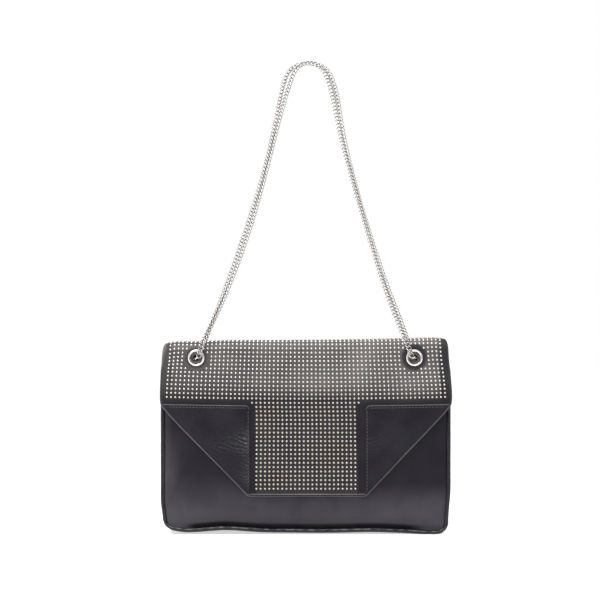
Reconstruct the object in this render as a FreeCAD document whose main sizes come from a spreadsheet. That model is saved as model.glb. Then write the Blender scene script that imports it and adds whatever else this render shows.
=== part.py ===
import FreeCAD, Part
import math
import os
import Sketcher

# Chain shoulder bag: a soft box with a studded flap, four eyelets and a doubled chain.
# X runs along the bag, Y from front to back, Z up. The origin is under the middle of the base.

doc = FreeCAD.newDocument("chain_shoulder_bag")

# Driving dimensions in millimetres
SIZES = [
    ("bag_width", 280.0),
    ("bag_depth", 54.0),
    ("front_face", -24.6),
    ("front_drop", 30.4),
    ("corner_radius", 12.0),
    ("leather", 1.4),
    ("board", 1.6),
    ("lining", 0.8),
    ("board_inset", 1.5),
    ("piping_dia", 4.0),
    ("seam_gap", 0.3),
    ("gusset_inset", 2.8),
    ("gusset_drop", 10.4),
    ("layer_gap", 0.2),
    ("base_board", 2.0),
    ("base_gap", 0.4),
    ("back_inner_drop", 5.4),
    ("pocket_width", 180.0),
    ("pocket_bottom", 55.0),
    ("pocket_top", 140.0),
    ("pocket_depth", 0.8),
    ("pocket_seam", 4.0),
    ("flap_top", 186.4),
    ("flap_leather", 1.3),
    ("flap_core", 0.9),
    ("flap_backing", 0.7),
    ("flap_gap", 3.2),
    ("bend_radius", 8.0),
    ("flap_taper", 2.8),
    ("flap_overhang", 0.4),
    ("flap_corner", 122.5),
    ("flap_bottom", 35.2),
    ("tongue_width", 113.2),
    ("edge_rim", 2.2),
    ("core_inset", 4.0),
    ("overlay", 1.2),
    ("overlay_rise", 1.5),
    ("overlay_round", 4.8),
    ("overlay_edge", 0.8),
    ("stud_dia", 2.2),
    ("stud_rise", 0.75),
    ("stud_pitch", 4.1),
    ("stud_seat", 0.15),
    ("band_rise", 8.0),
    ("band_margin", 3.5),
    ("tongue_margin", 9.0),
    ("tongue_foot", 8.5),
    ("root_margin", 7.0),
    ("eyelet_inset", 35.0),
    ("eyelet_drop", 17.4),
    ("back_eyelet_drop", 10.0),
    ("eyelet_bore", 11.4),
    ("eyelet_wall", 0.6),
    ("eyelet_flange", 16.2),
    ("eyelet_lip", 1.4),
    ("eyelet_round", 0.9),
    ("eyelet_clear", 24.6),
    ("hole_fit", 0.15),
    ("washer_dia", 15.0),
    ("washer", 0.8),
    ("snap_height", 62.0),
    ("snap_dia", 17.0),
    ("socket_rise", 1.6),
    ("recess_dia", 8.0),
    ("recess_depth", 1.2),
    ("plate_rise", 1.2),
    ("nub_dia", 5.0),
    ("nub_rise", 1.0),
    ("post_dia", 4.0),
    ("wire_dia", 1.2),
    ("link_width", 4.3),
    ("link_pitch", 3.5),
    ("link_slack", 0.3),
    ("chain_standoff", 3.4),
    ("chain_inset", 2.0),
    ("apex_gap", 3.2),
]
sheet = doc.addObject("Spreadsheet::Sheet", "dims")
for row, (alias, number) in enumerate(SIZES, start=1):
    sheet.set(f"A{row}", alias)
    sheet.set(f"B{row}", str(number))
    sheet.setAlias(f"B{row}", alias)
doc.recompute()

# Places worked out from the driving dimensions
HALF = "dims.bag_width / 2"
FRONT_TOP = "(dims.flap_top - dims.front_drop)"
GUSSET_TOP = "(dims.flap_top - dims.gusset_drop)"
BACK_INNER_TOP = "(dims.flap_top - dims.back_inner_drop)"
OVERLAY_TOP = "(dims.flap_corner + dims.overlay_rise)"
BAND_LOW = "(dims.flap_corner + dims.band_rise)"
BACK_FACE = "(dims.front_face + dims.bag_depth)"
PANEL_EDGE = "(dims.piping_dia + 2 * dims.seam_gap)"
PANEL_HALF = f"({HALF} - {PANEL_EDGE})"
PANEL_ROUND = f"(dims.corner_radius - {PANEL_EDGE})"
GUSSET_HALF = f"({HALF} - dims.gusset_inset)"
PIPING_EDGE = "(dims.piping_dia + dims.seam_gap)"
GUSSET_START = f"(dims.front_face + {PIPING_EDGE})"
GUSSET_DEPTH = f"(dims.bag_depth - 2 * {PIPING_EDGE})"
LINING_OFFSET = "(dims.leather + dims.layer_gap)"
WALL = "(dims.leather + dims.board + dims.lining)"
FLAP_STACK = "(dims.flap_leather + dims.flap_core + dims.flap_backing)"
FLAP_FACE = f"(dims.front_face - dims.flap_gap - {FLAP_STACK})"
HINGE_Y = f"({BACK_FACE} - {FLAP_STACK} / 2)"
HINGE_Z = f"(dims.flap_top - {FLAP_STACK} / 2)"
CORNER_HALF = f"({HALF} + dims.flap_overhang)"
TONGUE_HALF = "dims.tongue_width / 2"
FLAP_SLOPE = f"((dims.flap_corner - dims.flap_bottom) / ({CORNER_HALF} - {TONGUE_HALF}))"
BARREL_DIA = "(dims.eyelet_bore + 2 * dims.eyelet_wall)"
EYELET_HOLE = f"({BARREL_DIA} + 2 * dims.hole_fit)"
POST_HOLE = "(dims.post_dia + 2 * dims.hole_fit)"
EYELET_X = f"({HALF} - dims.eyelet_inset)"
EYELET_Z = "(dims.flap_top - dims.eyelet_drop)"
BACK_EYELET_Z = f"({EYELET_Z} - dims.back_eyelet_drop)"
CHAIN_X = f"({EYELET_X} - dims.chain_inset)"
FRONT_PIVOT_Y = f"({FLAP_FACE} - dims.eyelet_lip - dims.chain_standoff)"
BACK_PIVOT_Y = f"({BACK_FACE} + dims.eyelet_lip + dims.chain_standoff)"

nodes = []


def value(expression):
    return float(sheet.evalExpression(expression))


def new_body(label):
    body = doc.addObject("PartDesign::Body", label)
    body.Label = label
    nodes.append(body)
    return body


def place(item, x="0", y="0", z="0"):
    for letter, expression in zip("xyz", (x, y, z)):
        item.setExpression(f"Placement.Base.{letter}", expression)


def new_sketch(body, name, role):
    sketch = body.newObject("Sketcher::SketchObject", name)
    plane = next(item for item in body.Origin.OriginFeatures if item.Role == role)
    sketch.AttachmentSupport = [(plane, "")]
    sketch.MapMode = "FlatFace"
    return sketch


def bind(sketch, kind, *where):
    # The last item is the expression that drives this constraint
    expression = where[-1]
    index = sketch.addConstraint(Sketcher.Constraint(kind, *where[:-1], value(expression)))
    sketch.setExpression(f"Constraints[{index}]", expression)


def bind_point(sketch, line, end, across, up):
    bind(sketch, "DistanceX", -1, 1, line, end, across)
    bind(sketch, "DistanceY", -1, 1, line, end, up)


def add_outline(sketch, corners, closed=True):
    # Corners are (across, up, radius or None); the sides of a rounded corner run along the axes
    spots = [FreeCAD.Vector(value(across), value(up), 0) for across, up, _ in corners]
    count = len(corners)
    starts = []
    ends = []
    for index, (_, _, radius) in enumerate(corners):
        spot = spots[index]
        before = spots[index - 1] - spot
        after = spots[(index + 1) % count] - spot
        reach = value(radius) if radius else 0.0
        ends.append(spot + before.normalize() * reach)
        starts.append(spot + after.normalize() * reach)
    lines = []
    for index in range(count if closed else count - 1):
        piece = Part.LineSegment(starts[index], ends[(index + 1) % count])
        lines.append(sketch.addGeometry(piece, False))
        side = spots[(index + 1) % count] - spots[index]
        level = abs(side.y) < 1e-9
        upright = abs(side.x) < 1e-9
        rounded = corners[index][2] or corners[(index + 1) % count][2]
        if rounded and (level or upright):
            sketch.addConstraint(Sketcher.Constraint("Horizontal" if level else "Vertical", lines[-1]))
        if corners[index][2] and corners[(index + 1) % count][2]:
            bind(sketch, *("DistanceY" if level else "DistanceX", -1, 1, lines[-1], 1),
                 corners[index][1] if level else corners[index][0])
    for index, (across, up, radius) in enumerate(corners):
        opens = closed or index < count - 1
        follows = closed or index > 0
        if not radius:
            if opens and follows:
                joined = Sketcher.Constraint("Coincident", lines[index - 1], 2, lines[index], 1)
                sketch.addConstraint(joined)
            line, end = (lines[index], 1) if opens else (lines[index - 1], 2)
            bind_point(sketch, line, end, across, up)
            continue
        spot = spots[index]
        inward = (ends[index] - spot) + (starts[index] - spot)
        middle = spot + inward * (1 - math.sqrt(0.5))
        arc = Part.Arc(ends[index], middle, starts[index])
        curve = sketch.addGeometry(arc, False)
        first, last = (1, 2) if (sketch.getPoint(curve, 1) - ends[index]).Length < 1e-6 else (2, 1)
        sketch.addConstraint(Sketcher.Constraint("Tangent", lines[index - 1], 2, curve, first))
        sketch.addConstraint(Sketcher.Constraint("Tangent", lines[index], 1, curve, last))
        bind(sketch, "Radius", curve, radius)


def add_circle(sketch, across, up, diameter):
    centre = FreeCAD.Vector(value(across), value(up), 0)
    ring = Part.Circle(centre, FreeCAD.Vector(0, 0, 1), value(diameter) / 2)
    curve = sketch.addGeometry(ring, False)
    bind_point(sketch, curve, 3, across, up)
    bind(sketch, "Diameter", curve, diameter)


def add_pad(body, sketch, length, midplane=False):
    pad = body.newObject("PartDesign::Pad", f"{body.Label}_pad")
    pad.Profile = sketch
    pad.setExpression("Length", length)
    pad.Midplane = midplane
    pad.Reversed = not midplane
    sketch.Visibility = False
    return pad


def cut_through(body, sketch, length):
    pocket = body.newObject("PartDesign::Pocket", f"{body.Label}_cut")
    pocket.Profile = sketch
    pocket.Midplane = True
    pocket.setExpression("Length", length)
    sketch.Visibility = False
    return pocket


def plate(label, corners, face, thickness, holes=()):
    # A flat layer seen from the front, its front face at the given Y
    body = new_body(label)
    outline = new_sketch(body, f"{label}_outline", "XZ_Plane")
    add_outline(outline, corners)
    add_pad(body, outline, thickness)
    if holes:
        punched = new_sketch(body, f"{label}_holes", "XZ_Plane")
        for hole in holes:
            add_circle(punched, *hole)
        cut_through(body, punched, "4 * dims.bag_depth")
    place(body, y=face)
    return body


def tray_outline(half, bottom, top, radius):
    left = f"-({half})"
    return [(left, top, None), (left, bottom, radius), (half, bottom, radius), (half, top, None)]


def both_eyelets(height):
    return [(f"-{EYELET_X}", height, EYELET_HOLE), (EYELET_X, height, EYELET_HOLE)]


def snap_hole(diameter):
    return [("0", "dims.snap_height", diameter)]


def turned(label, corners, x, y, z, backwards=False):
    # A round piece turned about Y; its profile is (radius, distance along Y, rounding)
    body = new_body(label)
    profile = new_sketch(body, f"{label}_profile", "XY_Plane")
    add_outline(profile, corners)
    spin = body.newObject("PartDesign::Revolution", f"{label}_turned")
    spin.Profile = profile
    spin.ReferenceAxis = (profile, ["V_Axis"])
    spin.Angle = 360
    profile.Visibility = False
    if backwards:
        body.Placement = FreeCAD.Placement(FreeCAD.Vector(), FreeCAD.Rotation(FreeCAD.Vector(0, 0, 1), 180))
    place(body, x, y, z)
    return body


# Front wall: leather outside, board inside it, lining towards the compartment
plate("front_panel", tray_outline(PANEL_HALF, PANEL_EDGE, FRONT_TOP, PANEL_ROUND),
      "dims.front_face", "dims.leather", snap_hole(POST_HOLE))
INNER_HALF = f"({PANEL_HALF} - dims.board_inset)"
INNER_BOTTOM = f"({PANEL_EDGE} + dims.board_inset)"
INNER_ROUND = f"({PANEL_ROUND} - dims.board_inset)"
inner_front = tray_outline(INNER_HALF, INNER_BOTTOM, FRONT_TOP, INNER_ROUND)
plate("front_board", inner_front, "dims.front_face + dims.leather", "dims.board", snap_hole(POST_HOLE))
plate("front_lining", inner_front, "dims.front_face + dims.leather + dims.board", "dims.lining",
      snap_hole(POST_HOLE))

# Back wall: the same three layers, as high as the flap's hinge line, with the two back eyelet holes,
# which lie lower than the flap's
BACK_TOP = f"({HINGE_Z} - {FLAP_STACK} / 2 - dims.seam_gap)"
plate("back_panel", tray_outline(PANEL_HALF, PANEL_EDGE, BACK_TOP, PANEL_ROUND),
      f"{BACK_FACE} - dims.leather", "dims.leather", both_eyelets(BACK_EYELET_Z))
inner_back = tray_outline(INNER_HALF, INNER_BOTTOM, BACK_INNER_TOP, INNER_ROUND)
plate("back_board", inner_back, f"{BACK_FACE} - dims.leather - dims.board", "dims.board",
      both_eyelets(BACK_EYELET_Z))
plate("back_lining", inner_back, f"{BACK_FACE} - {WALL}", "dims.lining", both_eyelets(BACK_EYELET_Z))


def strip(label, offset, thickness, top):
    # A strip bent down one side, along the base and up the other side
    body = new_body(label)
    outer = new_sketch(body, f"{label}_outer", "XZ_Plane")
    radius = f"(dims.corner_radius - {offset})"
    add_outline(outer, tray_outline(f"({GUSSET_HALF} - {offset})", offset, top, radius))
    add_pad(body, outer, GUSSET_DEPTH)
    inner = new_sketch(body, f"{label}_inner", "XZ_Plane")
    inside = f"({offset} + {thickness})"
    add_outline(inner, tray_outline(f"({GUSSET_HALF} - {inside})", inside, f"{top} + dims.leather",
                                    f"(dims.corner_radius - {inside})"))
    cut_through(body, inner, "4 * dims.bag_depth")
    place(body, y=GUSSET_START)
    return body


# Gusset: the sides and base in one strip, its lining, and the stiff board lying in the base
strip("gusset", "0.0", "dims.leather", GUSSET_TOP)
strip("gusset_lining", LINING_OFFSET, "dims.lining", GUSSET_TOP)
FLOOR = f"({LINING_OFFSET} + dims.lining)"
FLOOR_HALF = f"({GUSSET_HALF} - dims.corner_radius)"
base_board = new_body("base_board")
base_outline = new_sketch(base_board, "base_board_outline", "XY_Plane")
FLOOR_FRONT = f"(dims.front_face + {WALL} + dims.base_gap)"
FLOOR_BACK = f"({BACK_FACE} - {WALL} - dims.base_gap)"
add_outline(base_outline, [(f"-{FLOOR_HALF}", FLOOR_FRONT, None), (FLOOR_HALF, FLOOR_FRONT, None),
                           (FLOOR_HALF, FLOOR_BACK, None), (f"-{FLOOR_HALF}", FLOOR_BACK, None)])
base_pad = add_pad(base_board, base_outline, "dims.base_board")
base_pad.Reversed = False
place(base_board, z=FLOOR)


def piping(label, centre):
    # A round rolled edge down one side, along the base and up the other side
    body = new_body(label)
    run = new_sketch(body, f"{label}_run", "XZ_Plane")
    radius = "dims.piping_dia / 2"
    half = f"({HALF} - dims.seam_gap - {radius})"
    low = f"(dims.seam_gap + {radius})"
    bend = f"(dims.corner_radius - dims.seam_gap - {radius})"
    add_outline(run, tray_outline(half, low, FRONT_TOP, bend), closed=False)
    ring = new_sketch(body, f"{label}_ring", "XY_Plane")
    ring.setExpression("AttachmentOffset.Base.z", FRONT_TOP)
    add_circle(ring, f"-{half}", "0", "dims.piping_dia")
    doc.recompute()
    pipe = body.newObject("PartDesign::AdditivePipe", f"{label}_pipe")
    pipe.Profile = ring
    pipe.Spine = (run, [f"Edge{number}" for number in range(1, len(run.Shape.Edges) + 1)])
    run.Visibility = False
    ring.Visibility = False
    place(body, y=centre)
    return body


# Rolled edges between the walls and the gusset
piping("front_piping", "dims.front_face + dims.piping_dia / 2")
piping("back_piping", f"{BACK_FACE} - dims.piping_dia / 2")

# Slip pocket: a panel sewn to the back lining on three sides, open at the top
POCKET_WALL = "(dims.lining + dims.pocket_depth)"
pocket = plate("slip_pocket",
               [("-dims.pocket_width / 2", "dims.pocket_top", None),
                ("-dims.pocket_width / 2", "dims.pocket_bottom", None),
                ("dims.pocket_width / 2", "dims.pocket_bottom", None),
                ("dims.pocket_width / 2", "dims.pocket_top", None)],
               f"{BACK_FACE} - {WALL} - {POCKET_WALL}", POCKET_WALL)
slot = new_sketch(pocket, "slip_pocket_slot", "XZ_Plane")
slot.setExpression("AttachmentOffset.Base.z", "-dims.lining")
SLOT_HALF = "(dims.pocket_width / 2 - dims.pocket_seam)"
SLOT_LOW = "(dims.pocket_bottom + dims.pocket_seam)"
SLOT_HIGH = "(dims.pocket_top + dims.pocket_seam)"
add_outline(slot, [(f"-{SLOT_HALF}", SLOT_HIGH, None), (f"-{SLOT_HALF}", SLOT_LOW, None),
                   (SLOT_HALF, SLOT_LOW, None), (SLOT_HALF, SLOT_HIGH, None)])
slot_cut = pocket.newObject("PartDesign::Pocket", "slip_pocket_mouth")
slot_cut.Profile = slot
slot_cut.Reversed = False
slot_cut.setExpression("Length", "2 * dims.pocket_depth")
slot.Visibility = False


def flap_outline(rise, taper):
    # The flap seen from the front: a band with a tapering tongue, raised and narrowed for inner layers
    top = "(dims.flap_top + dims.flap_leather)"
    top_half = f"({HALF} - dims.flap_taper - {taper})"
    corner_half = f"({CORNER_HALF} - {taper})"
    corner = f"(dims.flap_corner + {rise})"
    bottom = f"(dims.flap_bottom + {rise})"
    return [(f"-{top_half}", top, None), (f"-{corner_half}", corner, None), (f"-{TONGUE_HALF}", bottom, None),
            (TONGUE_HALF, bottom, None), (corner_half, corner, None), (top_half, top, None)]


def flap_layer(label, depth, thickness, root):
    # One layer of the flap: from the hinge along the top, round the front bend and down the front
    body = new_body(label)
    section = new_sketch(body, f"{label}_section", "YZ_Plane")
    face = f"({FLAP_FACE} + {depth})"
    top = f"(dims.flap_top - {depth})"
    back = f"({face} + {thickness})"
    under = f"({top} - {thickness})"
    bend = f"(dims.bend_radius - {depth})"
    low = "(dims.flap_bottom - dims.leather)"
    add_outline(section, [(root, top, None), (face, top, bend), (face, low, None), (back, low, None),
                          (back, under, f"({bend} - {thickness})"), (root, under, None)])
    add_pad(body, section, "2 * dims.bag_width", midplane=True)
    return body


def trim_flap(body, rise, taper, holes):
    # Cut a flap layer to its outline seen from the front, then punch its holes
    trim = new_sketch(body, f"{body.Label}_trim", "XZ_Plane")
    wide = "2 * dims.bag_width"
    high = "2 * dims.flap_top"
    add_outline(trim, [(f"-{wide}", high, None), (f"-{wide}", f"-{high}", None),
                       (wide, f"-{high}", None), (wide, high, None)])
    add_outline(trim, flap_outline(rise, taper))
    cut_through(body, trim, "8 * dims.bag_depth")
    punched = new_sketch(body, f"{body.Label}_holes", "XZ_Plane")
    for hole in holes:
        add_circle(punched, *hole)
    cut_through(body, punched, "8 * dims.bag_depth")


# Flap: studded leather outside with a round root on the hinge line, a core, and a backing that shows as a rim
flap_outer = flap_layer("flap_outer", "0.0", "dims.flap_leather", HINGE_Y)
root_sketch = new_sketch(flap_outer, "flap_outer_root", "YZ_Plane")
add_circle(root_sketch, HINGE_Y, HINGE_Z, FLAP_STACK)
add_pad(flap_outer, root_sketch, "2 * dims.bag_width", midplane=True)
trim_flap(flap_outer, "dims.edge_rim", "0.0", both_eyelets(EYELET_Z))
INNER_ROOT = f"({HINGE_Y} - {FLAP_STACK} / 2 - dims.seam_gap)"
flap_core = flap_layer("flap_reinforcement", "dims.flap_leather", "dims.flap_core", INNER_ROOT)
SNAP_WASHER_HOLE = "(dims.washer_dia + 2 * dims.hole_fit)"
trim_flap(flap_core, "dims.core_inset", "dims.edge_rim",
          both_eyelets(EYELET_Z) + snap_hole(SNAP_WASHER_HOLE))
flap_back = flap_layer("flap_lining", "(dims.flap_leather + dims.flap_core)", "dims.flap_backing", INNER_ROOT)
trim_flap(flap_back, "0.0", "0.0", both_eyelets(EYELET_Z) + snap_hole(POST_HOLE))

# Corner overlays: a stitched leather triangle on each side of the tongue
OVERLAY_INNER = f"({TONGUE_HALF} + dims.overlay_edge)"
OVERLAY_LOW = "(dims.flap_bottom + dims.edge_rim + dims.overlay_edge)"
OVERLAY_TIP = f"({TONGUE_HALF} + ({OVERLAY_TOP} - {OVERLAY_LOW}) / {FLAP_SLOPE})"
OVERLAY_FOOT = f"({OVERLAY_LOW} + ({OVERLAY_INNER} - {TONGUE_HALF}) * {FLAP_SLOPE})"
for side, sign in (("left", "-1 * "), ("right", "")):
    plate(f"flap_corner_{side}",
          [(f"{sign}{OVERLAY_TIP}", OVERLAY_TOP, None),
           (f"{sign}{OVERLAY_INNER}", OVERLAY_TOP, "dims.overlay_round"),
           (f"{sign}{OVERLAY_INNER}", OVERLAY_FOOT, None)],
          f"{FLAP_FACE} - dims.overlay", "dims.overlay")

# Eyelets: a rounded flange and a barrel through the leather, and a washer behind
BORE_RADIUS = "dims.eyelet_bore / 2"
FLANGE_RADIUS = "dims.eyelet_flange / 2"
BARREL_RADIUS = f"{BARREL_DIA} / 2"
WASHER_BORE = f"({BARREL_DIA} / 2 + dims.hole_fit)"


def eyelet_profile(stack):
    return [(BORE_RADIUS, "-dims.eyelet_lip", "dims.eyelet_round"),
            (FLANGE_RADIUS, "-dims.eyelet_lip", "dims.eyelet_round"),
            (FLANGE_RADIUS, "0", None), (BARREL_RADIUS, "0", None),
            (BARREL_RADIUS, f"{stack} + dims.washer", None), (BORE_RADIUS, f"{stack} + dims.washer", None)]


def ring_profile(inner, outer, start, thickness):
    finish = f"{start} + {thickness}"
    return [(inner, start, None), (outer, start, None), (outer, finish, None), (inner, finish, None)]


for wall, face, stack, height in (("front", FLAP_FACE, FLAP_STACK, EYELET_Z),
                                  ("back", BACK_FACE, WALL, BACK_EYELET_Z)):
    for side, sign in (("left", "-1 * "), ("right", "")):
        spot = (f"{sign}{EYELET_X}", face, height, wall == "back")
        turned(f"{wall}_eyelet_{side}", eyelet_profile(stack), *spot)
        turned(f"{wall}_eyelet_washer_{side}",
               ring_profile(WASHER_BORE, "dims.washer_dia / 2", stack, "dims.washer"), *spot)

# Magnetic snap: a socket on the front wall, a plate with a nub under the flap, and a washer for each
POST_RADIUS = "dims.post_dia / 2"
SNAP_RADIUS = "dims.snap_dia / 2"
WASHER_RADIUS = "dims.washer_dia / 2"
POST_BORE = f"{POST_HOLE} / 2"
snap_front = ("0", "dims.front_face", "dims.snap_height")
turned("snap_socket",
       [("0", "dims.recess_depth - dims.socket_rise", None),
        ("dims.recess_dia / 2", "dims.recess_depth - dims.socket_rise", None),
        ("dims.recess_dia / 2", "-dims.socket_rise", None), (SNAP_RADIUS, "-dims.socket_rise", None),
        (SNAP_RADIUS, "0", None), (POST_RADIUS, "0", None),
        (POST_RADIUS, f"{WALL} + dims.washer", None), ("0", f"{WALL} + dims.washer", None)],
       *snap_front)
turned("snap_socket_washer", ring_profile(POST_BORE, WASHER_RADIUS, WALL, "dims.washer"), *snap_front)
FLAP_INSIDE = "(dims.front_face - dims.flap_gap)"
PLATE_WASHER = "-(dims.flap_backing + dims.washer)"
snap_flap = ("0", FLAP_INSIDE, "dims.snap_height")
turned("snap_plate",
       [("0", PLATE_WASHER, None), (POST_RADIUS, PLATE_WASHER, None),
        (POST_RADIUS, "0", None), (SNAP_RADIUS, "0", None), (SNAP_RADIUS, "dims.plate_rise", None),
        ("dims.nub_dia / 2", "dims.plate_rise", None),
        ("dims.nub_dia / 2 - dims.nub_rise / 4", "dims.plate_rise + dims.nub_rise", None),
        ("0", "dims.plate_rise + dims.nub_rise", None)],
       *snap_flap)
turned("snap_plate_washer",
       ring_profile(POST_BORE, WASHER_RADIUS, PLATE_WASHER, "dims.washer"), *snap_flap)


def group(label, solids):
    # Many separate equal pieces kept together as one node
    item = doc.addObject("Part::Feature", label)
    item.Label = label
    item.Shape = Part.makeCompound(solids)
    item.Placement = FreeCAD.Placement()
    nodes.append(item)
    return item


# Studs: small domes in a square grid over the band, the tongue and the top of the flap
stud_radius = value("dims.stud_dia / 2")
stud_rise = value("dims.stud_rise")
dome_radius = (stud_radius ** 2 + stud_rise ** 2) / (2 * stud_rise)
dome_sphere = Part.makeSphere(dome_radius, FreeCAD.Vector(0, 0, stud_rise - dome_radius))
dome_box = Part.makeBox(4 * stud_radius, 4 * stud_radius, 4 * stud_radius,
                        FreeCAD.Vector(-2 * stud_radius, -2 * stud_radius, 0))
dome = dome_sphere.common(dome_box).Solids[0]
pitch = value("dims.stud_pitch")
flap_face = value(FLAP_FACE)
flap_top = value("dims.flap_top")
bend_radius = value("dims.bend_radius")
bend_start = flap_top - bend_radius
bend_length = bend_radius * math.pi / 2
stud_seat = value("dims.stud_seat")


def stud_at(x, climb):
    # climb is the distance up the flap's outside from the level of the base, over the front bend
    turn = min(max(climb - bend_start, 0.0) / bend_radius, math.pi / 2)
    along = max(climb - bend_start - bend_length, 0.0)
    out = FreeCAD.Vector(0, -math.cos(turn), math.sin(turn))
    centre = FreeCAD.Vector(x, flap_face + bend_radius + along, min(climb, bend_start))
    spot = centre + out * (bend_radius + stud_seat)
    stud = dome.copy()
    tilt = FreeCAD.Rotation(FreeCAD.Vector(1, 0, 0), 90 - math.degrees(turn))
    stud.Placement = FreeCAD.Placement(spot, tilt)
    return stud


def clear_of_eyelets(x, climb):
    aside = abs(x) - value(EYELET_X)
    above = climb - value(EYELET_Z)
    return math.hypot(aside, above) > value("dims.eyelet_clear / 2")


def stud_row(columns, climb):
    places = [(index - (columns - 1) / 2) * pitch for index in range(columns)]
    return [stud_at(x, climb) for x in places if clear_of_eyelets(x, climb)]


band_low = value(BAND_LOW)
band_columns = 2 * int(value(f"{HALF} - dims.flap_taper - dims.band_margin") / pitch + 0.5)
tongue_columns = 2 * int(value(f"{TONGUE_HALF} - dims.tongue_margin") / pitch + 0.5)
tongue_rows = int((band_low - value("dims.flap_bottom + dims.tongue_foot")) / pitch) - 1
top_start = bend_start + bend_length
top_end = top_start + value(HINGE_Y) - (flap_face + bend_radius) - value("dims.root_margin")
row_count = int((top_end - band_low) / pitch) + 1
climbs = [band_low + index * pitch for index in range(row_count)]
band_studs = []
top_studs = []
for climb in climbs:
    (top_studs if climb > top_start else band_studs).extend(stud_row(band_columns, climb))
tongue_studs = stud_row(tongue_columns + 2, band_low - pitch)
for index in range(tongue_rows):
    tongue_studs.extend(stud_row(tongue_columns, band_low - (index + 2) * pitch))
group("studs_band", band_studs)
group("studs_top", top_studs)
group("studs_tongue", tongue_studs)

# Chain: one run of oval links, threaded through the four eyelets, so that two strands rise over the bag
wire = value("dims.wire_dia")
link_pitch = value("dims.link_pitch")
link_width = value("dims.link_width")
link_length = link_pitch + value("dims.link_slack") + wire
link_bow = (link_width - wire) / 2
link_side = link_length / 2 - link_bow
chain_x = value(CHAIN_X)
eyelet_z = value(EYELET_Z)
back_eyelet_z = value(BACK_EYELET_Z)
ROUTE_HALF = 103.0


def link_solid():
    # An oval of round wire lying in XY, its length along X
    near = FreeCAD.Vector(0, -link_bow, 0)
    path = Part.Wire([
        Part.makeLine(near, FreeCAD.Vector(link_side, -link_bow, 0)),
        Part.Arc(FreeCAD.Vector(link_side, -link_bow, 0), FreeCAD.Vector(link_length / 2, 0, 0),
                 FreeCAD.Vector(link_side, link_bow, 0)).toShape(),
        Part.makeLine(FreeCAD.Vector(link_side, link_bow, 0), FreeCAD.Vector(-link_side, link_bow, 0)),
        Part.Arc(FreeCAD.Vector(-link_side, link_bow, 0), FreeCAD.Vector(-link_length / 2, 0, 0),
                 FreeCAD.Vector(-link_side, -link_bow, 0)).toShape(),
        Part.makeLine(FreeCAD.Vector(-link_side, -link_bow, 0), near),
    ])
    ring = Part.Wire(Part.makeCircle(wire / 2, near, FreeCAD.Vector(1, 0, 0)))
    return path.makePipeShell([ring], True, False)


link = link_solid()


def place_link(centre, along, across):
    # Turn a link so that its length lies along one direction and its width across another
    along = FreeCAD.Vector(along).normalize()
    facing = along.cross(across).normalize()
    across = facing.cross(along)
    turn = FreeCAD.Rotation(along, across, facing, "XYZ")
    copy = link.copy()
    copy.Placement = FreeCAD.Placement(centre, turn)
    return copy


def rounded_route(points):
    # Straight runs joined by tangent arcs, each arc taking 0.45 of its shorter run
    edges = []
    last = points[0]
    radii = []
    for before, corner, after in zip(points, points[1:], points[2:]):
        back = (before - corner)
        ahead = (after - corner)
        cut = 0.45 * min(back.Length, ahead.Length)
        turn = math.pi - back.getAngle(ahead)
        radius = cut / math.tan(turn / 2)
        radii.append(round(radius, 1))
        back.normalize()
        ahead.normalize()
        start = corner + back * cut
        finish = corner + ahead * cut
        bisector = (back + ahead).normalize()
        middle = corner + bisector * (math.hypot(radius, cut) - radius)
        edges.append(Part.makeLine(last, start))
        edges.append(Part.Arc(start, middle, finish).toShape())
        last = finish
    edges.append(Part.makeLine(last, points[-1]))
    return edges, radii


def along_route(edges, distance):
    for edge in edges:
        if distance <= edge.Length or edge is edges[-1]:
            spot = edge.getParameterByLength(min(distance, edge.Length))
            return edge.valueAt(spot), edge.tangentAt(spot)
        distance -= edge.Length


# The two strands from left to right: the distance from the middle when the eyelet links are
# ROUTE_HALF from it, and the height above the strand's own eyelets, chosen by hand
FRONT_ROUTE = [(-101.5, 11), (-92.5, 30), (-76, 68), (-56, 123), (-40, 176), (-26.5, 229), (-17.5, 261),
               (-6.5, 282.5), (12.5, 282.8), (24.5, 261), (33, 221), (45, 176), (60, 123), (78.5, 66),
               (93, 30), (101.5, 11)]
BACK_ROUTE = [(-102.5, 16), (-94, 38), (-76.5, 78), (-56.5, 133), (-40.5, 186), (-29, 237), (-22, 271),
              (-9, 294), (13, 294.2), (27, 271), (34.5, 231), (45.5, 186), (60.5, 133), (79, 76),
              (94.5, 38), (102.5, 16)]


def strand(label, route, pivot_y, pivot_z):
    # A strand stands upright to the level of the flap's eyelets, then leans in to meet the other at the top
    apex = max(rise for _, rise in route)
    gap = math.copysign(value("dims.apex_gap"), pivot_y)
    upright = eyelet_z - pivot_z
    lean = (gap - pivot_y) / (apex - upright)
    widen = chain_x / ROUTE_HALF
    flat = [(-ROUTE_HALF, 0), *route, (ROUTE_HALF, 0)]
    points = [FreeCAD.Vector(x * widen, pivot_y + max(rise - upright, 0) * lean, pivot_z + rise)
              for x, rise in flat]
    edges, radii = rounded_route(points)
    length = sum(edge.Length for edge in edges)
    steps = 2 * round((length - link_length) / link_pitch / 2)
    step = (length - link_length) / steps
    facing = FreeCAD.Vector(0, 1, -lean).normalize()
    links = []
    for index in range(steps + 1):
        centre, along = along_route(edges, link_length / 2 + index * step)
        across = along.cross(facing) if index % 2 == 0 else facing
        links.append(place_link(centre, along, across))
    print(label, "length", round(length, 1), "links", len(links), "step", round(step, 3),
          "lean", round(math.degrees(math.atan(lean)), 2), "bend radii", radii)
    return group(label, links)


front_pivot = value(FRONT_PIVOT_Y)
back_pivot = value(BACK_PIVOT_Y)
strand("chain_front", FRONT_ROUTE, front_pivot, eyelet_z)
strand("chain_back", BACK_ROUTE, back_pivot, back_eyelet_z)


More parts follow.
